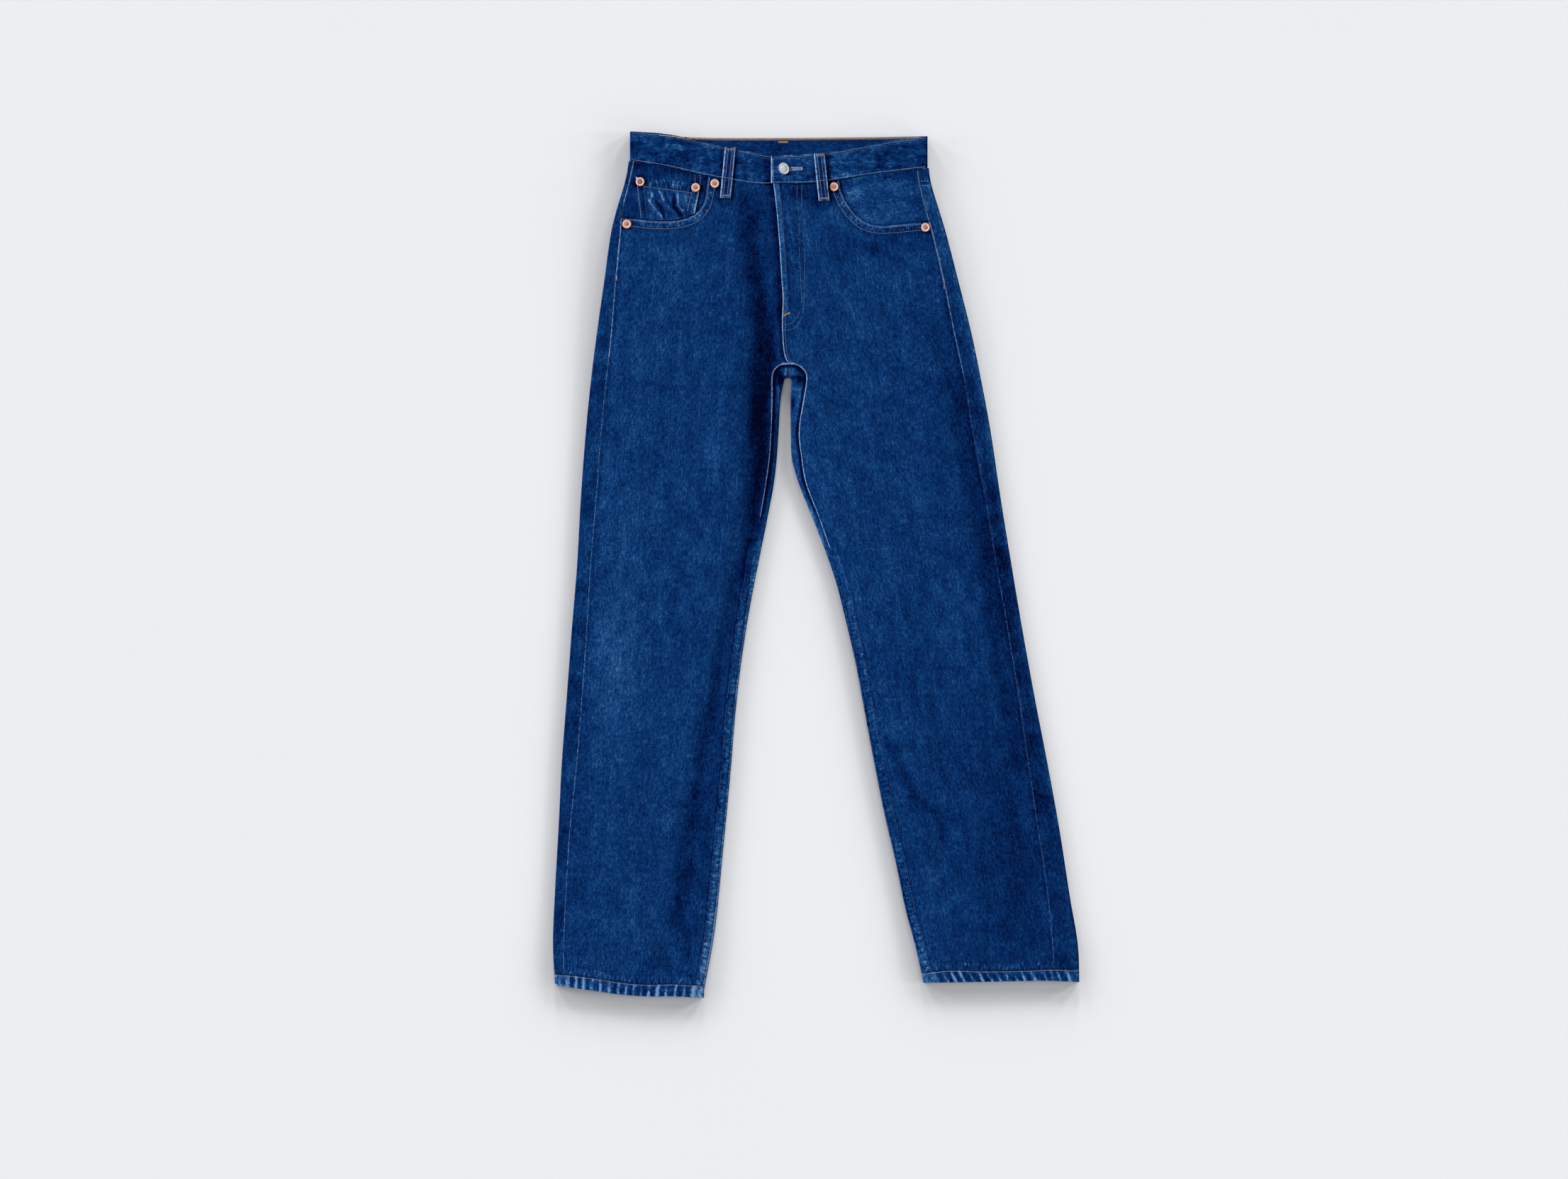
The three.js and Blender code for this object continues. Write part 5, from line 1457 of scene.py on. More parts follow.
def add_hem(side):
    low, high = HEM_CLOTH / 2, HEM_FRONT_TOP - HEM_CLOTH / 2
    radius = (high - low) / 2
    inset = radius + HEM_CLOTH / 2
    outer_x = side.edge(HEM_MIDDLE) - side.out * inset
    inner_x = side.inner_edge(HEM_MIDDLE) + side.out * inset
    waves = round(abs(outer_x - inner_x) / ROPING["pitch"])
    v = shares_with_fine_ends(10, 2, 0.5)[:, None]
    front = np.linspace(0, 1, 190)
    under = np.linspace(0, 1, 60)
    bends = np.arange(1, 10) / 10
    turn_in = np.radians(lerp(90, -90, bends))
    turn_out = np.radians(lerp(-90, 90, bends))
    x = np.concatenate([
        lerp(outer_x, inner_x, front),
        inner_x - side.out * np.cos(turn_in) * radius,
        lerp(inner_x, outer_x, under),
        outer_x + side.out * np.cos(turn_out) * radius,
    ])
    z = np.concatenate([
        0 * front + high,
        low + radius * (1 + np.sin(turn_in)),
        0 * under + low,
        low + radius * (1 + np.sin(turn_out)),
    ])
    nx = np.concatenate([0 * front, -side.out * np.cos(turn_in), 0 * under, side.out * np.cos(turn_out)])
    nz = np.concatenate([0 * front + 1, np.sin(turn_in), 0 * under - 1, np.sin(turn_out)])
    y = lerp(side.hem_upper(x) - HEM_SEAM_GAP, side.hem_lower(x)[None, :] + 0 * v, v)
    ones = np.ones_like(y)
    across = (x - outer_x) / (inner_x - outer_x)
    outward = side.edge(y) - side.edge(HEM_MIDDLE)
    inward = side.inner_edge(y) - side.inner_edge(HEM_MIDDLE)
    leaning_x = x * ones + lerp(outward, inward, np.clip(across, 0, 1))
    middle = np.stack([leaning_x, y, z * ones], -1)
    wall = Wall(middle, np.stack([nx * ones, 0 * y, nz * ones], -1), HEM_CLOTH, ring=True)
    share = np.concatenate([front, 1 + 0 * turn_in, 1 - under, 0 * turn_out])[None, :] * ones
    along = share * HEM_RUN
    uneven = 1.7 * noise(along, 0 * share, 20, 1, 51 + side.out)
    phase = 2 * math.pi * (waves * share + ROPING["slant_" + side.name] * 2 * v) + uneven
    ridge = (0.5 + 0.5 * np.cos(phase)) ** 2.0
    strength = 0.75 + 0.4 * noise(along, 0 * share, 11, 1, 55 + side.out)
    strength *= (0.6 + 0.5 * v) * (1 + 0.45 * noise(along, y, 3.0, 4.5, 57 + side.out))
    top = (nz > 0.9)[None, :] * smooth(share, 0, 0.05) * (1 - smooth(share, 0.95, 1))
    body = smooth(v, 0.0, 0.2)
    wall.proud = ROPING["height"] * top * ridge * strength * body - 0.5 * (1 - body) * top
    ends = np.maximum(0.6 * (1 - smooth(share, 0, 0.08)), smooth(share, 0.88, 0.97))
    look = side.look
    wall.fade = look["hem"] + look["hem_ridges"] * top * (ridge - 0.24) * strength
    wall.fade += look["hem_ends"] * ends * (nz > 0.3)[None, :]
    wall.wear = 0.5 * bell((1 - v) * HEM_HEIGHT, 1.1) * ones
    wall.wear = np.maximum(wall.wear, look["hem_tips"] * top * np.maximum(0, ridge - 0.45) * strength * body)
    wall.pucker = 0.3 * ones
    wall.grain = np.stack([along, y, 0 * y + 250], -1)
    wall.seam = np.stack([0 * y, along * 0.5, 0 * y], -1)
    hand_over(wall, "hem_" + side.name, "denim_hem")


def front_surface(x, y):
    """Highest outer face of the fronts and band at a place."""
    left = x >= centre_front(y)
    lower = np.where(left, LEFT.band_lower(x), RIGHT.band_lower(x))
    band = BAND_FRONT_TOP + np.where(left, band_lap_raise(x), 0)
    panel = top_middle(x, y) + np.where(left, fly_raise(x, y), 0) + CLOTH / 2 + 0.45
    return np.where(y > lower - 3, band, panel)


def highest_near(x, y, reach):
    offsets = [(dx, dy) for dx in (-reach, 0, reach) for dy in (-reach, 0, reach)]
    return np.max([front_surface(x + dx, y + dy) for dx, dy in offsets], axis=0)


def add_loop(loop, on_top):
    u = shares_with_fine_ends(56, 4)[:, None]
    s = lerp(-1, 1, shares_with_fine_ends(14, 3, 0.4))[None, :]
    thickness = LOOP_CLOTH if on_top else BACK_LOOP_CLOTH
    x = lerp(loop["top_x"], loop["end_x"], u) + s * LOOP_WIDTH / 2
    y = lerp(loop["top_y"], loop["end_y"], u) + 0 * s
    if on_top:
        half = x.shape[1] // 2
        height = highest_near(x[:, half:half + 1], y[:, half:half + 1], LOOP_WIDTH / 2 + 1)
        kernel = np.hanning(11)
        kernel /= kernel.sum()
        padded = np.pad(height[:, 0], 5, mode="edge")
        height = np.maximum(np.convolve(padded, kernel, "valid"), height[:, 0])[:, None]
        z = height + SEAM_GAP + thickness / 2 + 0 * x
    else:
        z = np.full(x.shape, thickness / 2)
    wall = flat_wall(x, y, z, thickness, UP if on_top else -UP)
    if on_top:
        wall.proud = 0.35 * (1 - np.abs(s) ** 4) - 0.18 * bell(np.abs(s) - 0.52, 0.12) + 0 * u
    wall.grain = np.stack([x, y, 0 * x + 300], -1)
    edge = (1 - np.abs(s)) * LOOP_WIDTH / 2
    ends = np.minimum(u, 1 - u) * LOOP_LENGTH
    wall.fade = 0.04 + 0.10 * noise(x, y, 4, 9, 61) - 0.22 * bell(s, 0.28)
    wall.wear = 1.5 * bell(edge, 1.5) + 0 * u
    wall.wear = np.maximum(wall.wear, 0.9 * bell(ends, 0.9) + 0 * s)
    wall.wear = np.maximum(wall.wear, 0.35 * (1 - smooth(ends, 3, 5)) + 0 * s)
    wall.pucker = 0.25 + 0 * x
    wall.seam = np.stack([0 * x, y, 0 * x], -1)
    hand_over(wall, loop["node"], "denim_band")


def hand_over(wall, node, slot):
    """Builds a piece in its denim, hangs it on the root and hides the solid that it replaces."""
    made = wall.build(node + "_cloth", DENIM[slot])
    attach(made, "root")
    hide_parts(node)


# Sewing

def build_tree():
    """A search tree of all the outer faces of the cloth, in millimetres."""
    points, faces, start = [], [], 0
    for piece_points, piece_faces in SURFACES:
        points.append(piece_points)
        faces.append(piece_faces + start)
        start += len(piece_points)
    points = np.concatenate(points)
    faces = np.concatenate(faces)
    return BVHTree.FromPolygons(points.tolist(), faces.tolist())


def land(tree, x, y, under=False):
    """Where a thread lies on the cloth at a place, seen from above or from below."""
    start = (x, y, -20.0) if under else (x, y, 60.0)
    hit = tree.ray_cast(start, (0, 0, 1.0 if under else -1.0))
    if hit[0] is None:
        return None
    return np.array(hit[0])


def above_floor(point, clearance):
    """Keeps the middle of a thread under the cloth this far above the surface it rests on."""
    return np.maximum(point, [-1e4, -1e4, clearance])


class Thread:
    """Stitches collected into one mesh."""

    SIDES = 5
    # Rings round a stitch: share of its length, width and height off the cloth.
    RINGS = ((0.0, 0.55, -0.35), (0.25, 1.0, 0.35), (0.5, 1.05, 0.6), (0.75, 1.0, 0.35), (1.0, 0.55, -0.35))

    def __init__(self):
        self.points = []
        self.faces = []
        self.tint = []
        self.count = 0
        self.random = np.random.default_rng(RANDOM_SEED)

    def capsule(self, a, b, radius, up, arch):
        """One stitch from a to b, arched off the cloth, with its ends sunk in."""
        along = b - a
        length = np.linalg.norm(along)
        if length < 1e-6:
            return
        along = along / length
        across = np.cross(along, up)
        across /= np.linalg.norm(across)
        normal = np.cross(across, along)
        angles = np.linspace(0, 2 * math.pi, self.SIDES, endpoint=False)
        circle = np.cos(angles)[:, None] * across + np.sin(angles)[:, None] * normal
        tint = self.random.uniform(-1, 1)
        for share, wide, high in self.RINGS:
            centre = a + along * length * share + normal * radius * high * arch
            self.points.append(centre + circle * radius * wide)
            self.tint.append(np.full(self.SIDES, tint))
        base = self.count
        for ring in range(len(self.RINGS) - 1):
            for k in range(self.SIDES):
                right = (k + 1) % self.SIDES
                low, high = base + ring * self.SIDES, base + (ring + 1) * self.SIDES
                self.faces.append((low + k, low + right, high + right, high + k))
        self.count += self.SIDES * len(self.RINGS)

    def build(self, name, material, slot):
        attributes = {"tint": np.concatenate(self.tint)}
        made = make_mesh(name, np.concatenate(self.points), self.faces, material, attributes)
        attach(made, "root")


def spaced(path, pitch):
    """Places a pitch apart along a line of points."""
    path = np.asarray(path, float)
    steps = np.hypot(*np.diff(path, axis=0).T)
    along = np.concatenate([[0], np.cumsum(steps)])
    count = max(1, int(along[-1] / pitch))
    at = np.linspace(0, along[-1], count + 1)
    return np.stack([np.interp(at, along, path[:, k]) for k in (0, 1)], 1)


def shifted(path, distance):
    """The line moved to the left of its direction."""
    path = np.asarray(path, float)
    tangent = np.gradient(path, axis=0)
    tangent /= np.linalg.norm(tangent, axis=1)[:, None]
    return path + distance * np.stack([-tangent[:, 1], tangent[:, 0]], 1)


def sew(thread, tree, path, pitch=3.1, radius=0.36, fill=0.8, under=False, skip=0.0, arch=1.0):
    """A row of stitches along a line: their pitch, radius and the share of the pitch they fill."""
    places = spaced(path, pitch)
    up = -UP if under else UP
    for a, b in zip(places[:-1], places[1:]):
        if skip and thread.random.uniform() < skip:
            continue
        b = a + (b - a) * fill
        start, end = land(tree, *a, under), land(tree, *b, under)
        if start is None or end is None or abs(start[2] - end[2]) > LARGEST_STEP:
            continue
        if under:
            start, end = above_floor(start, radius), above_floor(end, radius)
        thread.capsule(start, end, radius, up, 0.0 if under else arch)


def bartack(thread, tree, centre, direction, length, width=2.0, under=False):
    """A dense bar of short stitches across its own length."""
    angle = math.radians(direction)
    along = np.array([math.cos(angle), math.sin(angle)])
    across = np.array([-along[1], along[0]])
    up = -UP if under else UP
    count = max(6, int(length / BAR_PITCH))
    for k in range(count):
        middle = np.asarray(centre) + along * (k / (count - 1) - 0.5) * length
        lean = along * 0.25 * (1 if k % 2 else -1)
        a = land(tree, *(middle - across * width / 2 - lean), under)
        b = land(tree, *(middle + across * width / 2 + lean), under)
        if a is not None and b is not None and abs(a[2] - b[2]) < LARGEST_STEP:
            if under:
                a, b = above_floor(a, BAR_CLEARANCE), above_floor(b, BAR_CLEARANCE)
            thread.capsule(a, b, BAR_RADIUS, up, 0.0 if under else 1.2)


def sew_front(tree, pale, tan, orange, faint, gold):
    # Waistband: a row along each edge, and down the lapped end.
    for side, start, end in ((RIGHT, -223, -56), (LEFT, -52, 131)):
        sew(pale, tree, along_x(side.band_upper, start, end, drop=2.0), 2.4, 0.22, 0.88)
        sew(faint, tree, along_x(side.band_upper, start, end, drop=4.2), 2.4, 0.18, 0.88)
        sew(pale, tree, along_x(side.band_lower, start, end, drop=-1.4), 2.4, 0.24, 0.95)
    sew(pale, tree, [(-52.6, 490), (-52.2, 464)], 2.5, 0.24, 0.9)
    # The inside of the back waistband shows above the front one.
    inside = along_x(band_back_upper, -190, 124, 60, 1.1)
    sew(gold, tree, inside, 2.2, 0.6, 1.0)
    sew(orange, tree, along_x(band_back_upper, -168, 112, 60, 2.4), 2.2, 0.26, 1.0)
    bartack(orange, tree, (-40.3, 510.4), 0, 11, 2.4)
    # Pocket openings: two rows in from the edge.
    for side in (RIGHT, LEFT):
        opening = through(side.opening, np.linspace(0.15, len(side.opening) - 1, 60))
        for inset in (1.7, 8.9):
            sew(pale if inset < 3 else tan, tree, shifted(opening, -side.out * inset), 2.5, 0.25, 0.88)
    # Coin pocket.
    (ax, ay), (bx, by), (cx, cy), (dx, dy) = coin_corners()
    sew(tan, tree, [(ax + 9, ay - 11.6), (cx - 7, cy - 11.4)], 2.4, 0.26, 0.9)
    for inset in (1.8, 9.2):
        sew(pale if inset < 3 else faint, tree, [(ax + inset, ay - 6), (bx + inset, by + 2)], 2.5, 0.22, 0.85)
        sew(pale, tree, [(cx - inset - 1, cy - 8), (dx - inset, dy + 3)], 2.5, 0.22, 0.85)
    # Faint lines above the coin pocket's inner corner.
    for x in (-147.0, -140.8):
        sew(pale, tree, [(x, 471), (x + 0.4, 460)], 2.5, 0.2, 0.85)
    # Fly: the rows that turn in a J, the bar and the rows below it.
    inner = pixel_path((1125, 261), (1124, 283), (1128, 305), (1127, 336), (1128, 363), (1130, 402),
                       (1131, 427), (1126, 447), (1116, 457), (1104, 459))
    outer = pixel_path((1131, 263), (1131, 293), (1135, 303), (1134, 333), (1135, 369), (1135, 411),
                       (1134, 434), (1130, 452), (1123, 463), (1111, 467), (1103, 465))
    sew(faint, tree, inner, 2.6, 0.24, 0.85, skip=0.15)
    sew(faint, tree, outer, 2.6, 0.26, 0.85, skip=0.1)
    edge = centre_path(WAIST_CENTRE, FLY_END, 6)
    sew(faint, tree, edge + [6.4, 0], 2.6, 0.2, 0.85, skip=0.2)
    below = centre_path(FLY_END, CROTCH_Y, 4)
    sew(pale, tree, below + [1.2, 0], 2.9, 0.32, 0.95)
    sew(faint, tree, below + [4.0, 0], 2.9, 0.28, 0.9)
    bartack(orange, tree, (-36.0, 302.2), 25, 7.5, 2.6)
    # Inseam arch and legs.
    for side in (RIGHT, LEFT):
        inseam = inseam_path(side, 10)
        arch = inseam[:24]
        sew(pale, tree, shifted(arch, side.out * 1.2), 2.5, 0.2, 1.0)
        leg = inseam[44:]
        sew(faint, tree, leg + [-side.out * 2.2, 0], 2.6, 0.22, 0.85, skip=0.3)
        sew(faint, tree, leg + [side.out * 8.4, 0], 2.6, 0.18, 0.85, skip=0.3)
    for x, thread in ((CENTRE_BACK - 4.2, pale), (CENTRE_BACK - 2.8, faint), (CENTRE_BACK + 4.6, faint)):
        sew(thread, tree, [(x + 1.5, 237.0), (x, 228.5)], 2.2, 0.3, 1.0)
    # Side seams from the waist to the end of the edge stitching.
    sew(pale, tree, side_path(RIGHT, 484, 348, 8) + [1.4, 0], 2.6, 0.22, 0.88)
    sew(pale, tree, side_path(LEFT, 476, 338, 8) + [-1.4, 0], 2.6, 0.22, 0.88)
    bartack(tan, tree, (RIGHT.seam(346) + 1.6, 346), 90, 5, 1.8)
    bartack(tan, tree, (LEFT.seam(336) - 1.6, 336), 90, 5, 1.8)
    for y in (463.1, 457.6):
        sew(pale, tree, [(LEFT.seam(y) + 1.5, y), (LEFT.edge(y) - 2, y)], 2.8, 0.3)
    # Hems.
    for side in (RIGHT, LEFT):
        start, end = side.edge(HEM_MIDDLE) - side.out * 1.5, side.inner_edge(HEM_MIDDLE) + side.out * 1.5
        sew(tan, tree, along_x(side.hem_upper, start, end, 50, 1.6), 2.6, 0.34, 0.92)


def pixel_path(*pixels):
    """Points measured on the photograph, in millimetres."""
    middle_x, middle_y = ORIGIN_PIXEL
    return [((px - middle_x) * MM_PER_PIXEL, (middle_y - py) * MM_PER_PIXEL) for px, py in pixels]


def sew_loops(tree, tan, orange):
    for loop in FRONT_LOOPS:
        top, end = np.array([loop["top_x"], loop["top_y"]]), np.array([loop["end_x"], loop["end_y"]])
        for offset in (-2.3, 2.3):
            sew(tan, tree, [top + [offset, -3], end + [offset, 3]], 2.2, 0.24, 0.85)
        bartack(orange, tree, top + [0.6, -2.2], 0, 8.0, 1.6)
        bartack(orange, tree, end + [0.4, 2.8], 0, 8.0, 1.6)
    for loop in BACK_LOOPS:
        top, end = np.array([loop["top_x"], loop["top_y"]]), np.array([loop["end_x"], loop["end_y"]])
        for offset in (-3.4, 3.4):
            sew(tan, tree, [top + [offset, -3], end + [offset, 3]], 3.1, 0.32, under=True)
        bartack(orange, tree, top + [0, -2.5], 0, 10.5, 1.8, under=True)
        bartack(orange, tree, end + [0, 2.4], 0, 10.5, 1.8, under=True)


def sew_back(tree, tan):
    for side in (RIGHT, LEFT):
        for inset in (1.8, 8.2):
            outline = back_pocket_outline(side, inset)
            sew(tan, tree, outline, 3.2, 0.36, under=True)
        for v in (0.016, 0.12):
            line = [back_pocket_point(side, 0.02, v), back_pocket_point(side, 0.98, v)]
            sew(tan, tree, line, 3.2, 0.36, under=True)
        for drop in (2.0, 8.4):
            sew(tan, tree, yoke_line(side, 8) + [0, drop], 3.2, 0.36, under=True)
        start, end = side.edge(HEM_MIDDLE) - side.out * 6, side.inner_edge(HEM_MIDDLE) + side.out * 6
        sew(tan, tree, along_x(side.hem_upper, start, end, 50, 1.9), 3.2, 0.4, under=True)
    for offset in (2.0, 8.2):
        sew(tan, tree, [(CENTRE_BACK - offset, 470), (CENTRE_BACK - offset, 236)], 3.2, 0.36, under=True)
    for line, drop in ((band_back_upper, 2.6), (band_back_lower, -2.4)):
        sew(tan, tree, along_x(line, -215, 124, 60, drop), 3.2, 0.36, under=True)


def hole_stitch(thread, tree, a, b):
    a, b = land(tree, *a), land(tree, *b)
    if a is not None and b is not None:
        thread.capsule(a, b, HOLE_RADIUS, UP, 1.3)


def sew_buttonhole(tree, pale):
    """A worked buttonhole beside the button: short stitches round a slit."""
    start, end = np.array([-33.0, 477.4]), np.array([-18.6, 477.9])
    direction = (end - start) / np.linalg.norm(end - start)
    across = np.array([-direction[1], direction[0]])
    for k in range(26):
        middle = lerp(start, end, k / 25)
        for way in (-1, 1):
            reach = way * lerp(2.9, 1.5, k / 25)
            hole_stitch(pale, tree, middle + across * way * 0.1, middle + across * reach)
    for k in range(9):
        angle = math.radians(-90 + 22.5 * k)
        way = direction * math.cos(angle) + across * math.sin(angle)
        hole_stitch(pale, tree, end + way * 0.4, end + way * 2.3)


# Button and rivets

def lathe(name, profile, segments, material, centre, slot, node, hollow=0.0, tilt=0.0, narrow=1.0):
    """A turned piece from radii and heights, seen a little from its side where narrow is under one."""
    profile = np.array(profile, float)
    angles = np.linspace(0, 2 * math.pi, segments, endpoint=False)
    rings = profile[:, None, 0]
    x, y = rings * np.cos(angles), rings * np.sin(angles)
    z = profile[:, None, 1] + 0 * angles
    points = np.stack([x, y, z], -1).reshape(-1, 3)
    points[:, 2] += tilt * points[:, 0]
    lean = np.array([math.cos(BUTTON_LEAN), math.sin(BUTTON_LEAN)])
    points[:, :2] -= (1 - narrow) * (points[:, :2] @ lean)[:, None] * lean
    faces = grid_faces(len(profile), segments, 0, ring=True)
    inner = 1 - smooth(np.hypot(points[:, 0], points[:, 1]), hollow * 0.7, hollow * 1.15 + 0.01)
    inner *= 1 - 0.5 * smooth(points[:, 2], 1.4, 1.7)
    made = make_mesh(name, points + centre, faces, material, {"inner": inner * (hollow > 0)})
    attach(made, "root")
    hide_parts(node)


def box_middle(node):
    """The middle of a solid's underside, in millimetres."""
    low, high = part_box(node)
    return np.array([(low[0] + high[0]) / 2, (low[1] + high[1]) / 2, low[2]]) / MM


RIVET_PROFILE = [
    (0.01, 0.0), (5.0, 0.0), (5.25, 0.25), (5.3, 0.55), (5.1, 0.9), (4.6, 1.12), (3.9, 1.1), (3.2, 0.86),
    (2.6, 0.62), (2.15, 0.55), (1.95, 0.8), (1.8, 1.25), (1.5, 1.6), (1.1, 1.72), (0.8, 1.6), (0.55, 1.3),
    (0.3, 1.15), (0.01, 1.1),
]
BUTTON_LEAN = math.radians(28)
BUTTON_PROFILE = [
    (0.01, 0.0), (3.2, 0.0), (3.4, 0.9), (6.6, 1.2), (7.1, 1.5), (7.3, 1.95), (7.2, 2.4), (6.9, 2.72),
    (6.4, 2.85), (5.9, 2.74), (5.5, 2.5), (5.2, 2.42), (4.9, 2.5), (4.5, 2.68), (3.9, 2.84), (3.2, 2.98),
    (2.4, 3.1), (1.6, 3.17), (0.8, 3.2), (0.01, 3.2),
]


def add_hardware():
    for node in sorted(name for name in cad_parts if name.startswith("rivet_")):
        lathe(node + "_turned", RIVET_PROFILE, 40, COPPER, box_middle(node), "rivet_copper", node, 2.6)
    centre = box_middle("waist_button")
    shape = {"tilt": 0.03, "narrow": 0.84}
    lathe("waist_button_turned", BUTTON_PROFILE, 64, STEEL, centre, "button_metal", "waist_button", **shape)


# Materials

class Nodes:
    """Short names for building a material's nodes."""

    def __init__(self, name):
        self.material = bpy.data.materials.new(name)
        self.material.use_nodes = True
        self.tree = self.material.node_tree
        self.tree.nodes.clear()
        self.output = self.tree.nodes.new("ShaderNodeOutputMaterial")
        self.shader = self.tree.nodes.new("ShaderNodeBsdfPrincipled")
        self.link(self.shader.outputs["BSDF"], self.output.inputs["Surface"])

    def link(self, source, target):
        self.tree.links.new(source, target)

    def set(self, socket, value):
        if hasattr(value, "is_linked") or hasattr(value, "links"):
            self.link(value, socket)
        else:
            socket.default_value = value

    def attribute(self, name, output="Fac"):
        node = self.tree.nodes.new("ShaderNodeAttribute")
        node.attribute_name = name
        return node.outputs[output]

    def math(self, operation, a, b=0.0, clamp=False):
        node = self.tree.nodes.new("ShaderNodeMath")
        node.operation = operation
        node.use_clamp = clamp
        self.set(node.inputs[0], a)
        self.set(node.inputs[1], b)
        return node.outputs[0]

    def times(self, a, b, clamp=False):
        return self.math("MULTIPLY", a, b, clamp)

    def uniform(self, values):
        """Values that are the same all over the surface, set on the shader's own sockets."""
        for name, value in values.items():
            self.shader.inputs[name].default_value = value

    def scaled(self, vector, x, y, z=1.0):
        """The vector times this many cycles a metre each way."""
        node = self.tree.nodes.new("ShaderNodeVectorMath")
        node.operation = "MULTIPLY"
        self.set(node.inputs[0], vector)
        node.inputs[1].default_value = (x, y, z)
        return node.outputs[0]

    def noise(self, vector, detail=2.0, rough=0.5, distortion=0.0):
        node = self.tree.nodes.new("ShaderNodeTexNoise")
        self.set(node.inputs["Vector"], vector)
        node.inputs["Scale"].default_value = 1.0
        node.inputs["Detail"].default_value = detail
        node.inputs["Roughness"].default_value = rough
        node.inputs["Distortion"].default_value = distortion
        return node.outputs["Fac"]

    def centred(self, value, amount):
        """A noise value moved to vary around zero by about this amount."""
        return self.times(self.math("SUBTRACT", value, 0.5), amount * 2)

    def add(self, *values):
        total = values[0]
        for value in values[1:]:
            total = self.math("ADD", total, value)
        return total

    def ramp(self, value, stops):
        node = self.tree.nodes.new("ShaderNodeValToRGB")
        elements = node.color_ramp.elements
        while len(elements) < len(stops):
            elements.new(0.5)
        for element, (place, colour) in zip(elements, stops):
            element.position = place
            element.color = (*colour, 1)
        self.set(node.inputs["Fac"], value)
        return node.outputs["Color"]

    def mix(self, factor, a, b):
        node = self.tree.nodes.new("ShaderNodeMix")
        node.data_type = "RGBA"
        self.set(node.inputs["Factor"], factor)
        for socket, value in ((node.inputs["A"], a), (node.inputs["B"], b)):
            if isinstance(value, tuple):
                socket.default_value = (*value, 1)
            else:
                self.link(value, socket)
        return node.outputs["Result"]

    def bump(self, height, distance, strength=1.0):
        node = self.tree.nodes.new("ShaderNodeBump")
        node.inputs["Strength"].default_value = strength
        node.inputs["Distance"].default_value = distance
        self.link(height, node.inputs["Height"])
        self.link(node.outputs["Normal"], self.shader.inputs["Normal"])


def linear(red, green, blue):
    """A colour as seen on a screen, from 0 to 255, as light."""
    def one(value):
        share = value / 255
        return share / 12.92 if share <= 0.04045 else ((share + 0.055) / 1.055) ** 2.4
    return (one(red), one(green), one(blue))


INDIGO = [
    (0.00, linear(0, 4, 34)),
    (0.20, linear(1, 24, 70)),
    (0.40, linear(6, 42, 94)),
    (0.50, linear(10, 51, 105)),
    (0.60, linear(17, 62, 117)),
    (0.75, linear(33, 80, 133)),
    (0.88, linear(62, 104, 154)),
    (1.00, linear(108, 142, 186)),
]
WORN = linear(160, 186, 226)


def denim(name, level, mottle=1.0, rumple=1.0):
    """Washed indigo denim: twill, slubs, mottling, worn seams, and the painted light and shade that the fade
    attribute and the puckers and creases carry.
    """
    n = Nodes(name)
    grain = n.attribute("grain", "Vector")
    fine = n.noise(n.scaled(grain, 720, 500, 3), 1.0, 0.6)
    grit = n.noise(n.scaled(grain, 430, 180, 3), 1.0, 0.5)
    slub = n.noise(n.scaled(grain, 260, 48, 3), 1.0, 0.5)
    streak = n.noise(n.scaled(grain, 95, 18, 3), 2.0, 0.5)
    cloud = n.noise(n.scaled(grain, 62, 44, 3), 3.0, 0.6)
    patch = n.noise(n.scaled(grain, 18, 13, 3), 2.0, 0.5)
    seam = n.attribute("seam", "Vector")
    ladder = n.noise(n.scaled(seam, 110, 300, 1), 1.0, 0.5)
    ladder = n.times(n.math("SUBTRACT", ladder, 0.5), 2.6)
    pucker = n.times(ladder, n.attribute("pucker"))
    crease = n.noise(n.scaled(grain, 210, 85, 3), 2.0, 0.55, 0.6)
    crease = n.times(n.centred(crease, rumple), n.attribute("crease"))
    broken = n.noise(n.scaled(grain, 260, 260, 3), 2.0, 0.6)
    broken = n.add(0.66, n.centred(broken, 0.7), n.times(pucker, 0.25))
    wear = n.times(n.attribute("wear"), broken)
    # The tone adds dye with painted light and shade; puckers and creases lighten and darken it along with
    # their bumps, partly wear and partly painted light and shade.
    tone = n.add(
        level,
        n.attribute("fade"),
        n.centred(fine, 0.30 * mottle),
        n.centred(grit, 0.30 * mottle),
        n.centred(slub, 0.10 * mottle),
        n.centred(streak, 0.10 * mottle),
        n.centred(cloud, 0.20 * mottle),
        n.centred(patch, 0.10 * mottle),
        n.times(pucker, 0.30),
        n.times(crease, 0.42),
        n.times(wear, 0.5),
    )
    worn = n.times(n.math("SUBTRACT", wear, 0.35), 1.3, True)
    colour = n.mix(worn, n.ramp(tone, INDIGO), WORN)
    n.link(colour, n.shader.inputs["Base Color"])
    diagonal = n.tree.nodes.new("ShaderNodeTexWave")
    diagonal.wave_type = "BANDS"
    diagonal.bands_direction = "DIAGONAL"
    n.set(diagonal.inputs["Vector"], n.scaled(grain, 560, 560, 0))
    diagonal.inputs["Scale"].default_value = 0.5
    diagonal.inputs["Distortion"].default_value = 0.6
    diagonal.inputs["Detail"].default_value = 1.0
    height = n.add(
        n.times(diagonal.outputs["Fac"], 0.15),
        n.times(fine, 0.25),
        n.times(slub, 0.35),
        n.times(pucker, 1.5),
        n.times(crease, 1.2),
    )
    n.bump(height, 0.0006, 0.8)
    n.uniform({"Roughness": 0.92, "Specular IOR Level": 0.02, "Sheen Weight": 0.004, "Sheen Roughness": 0.5})
    return n.material


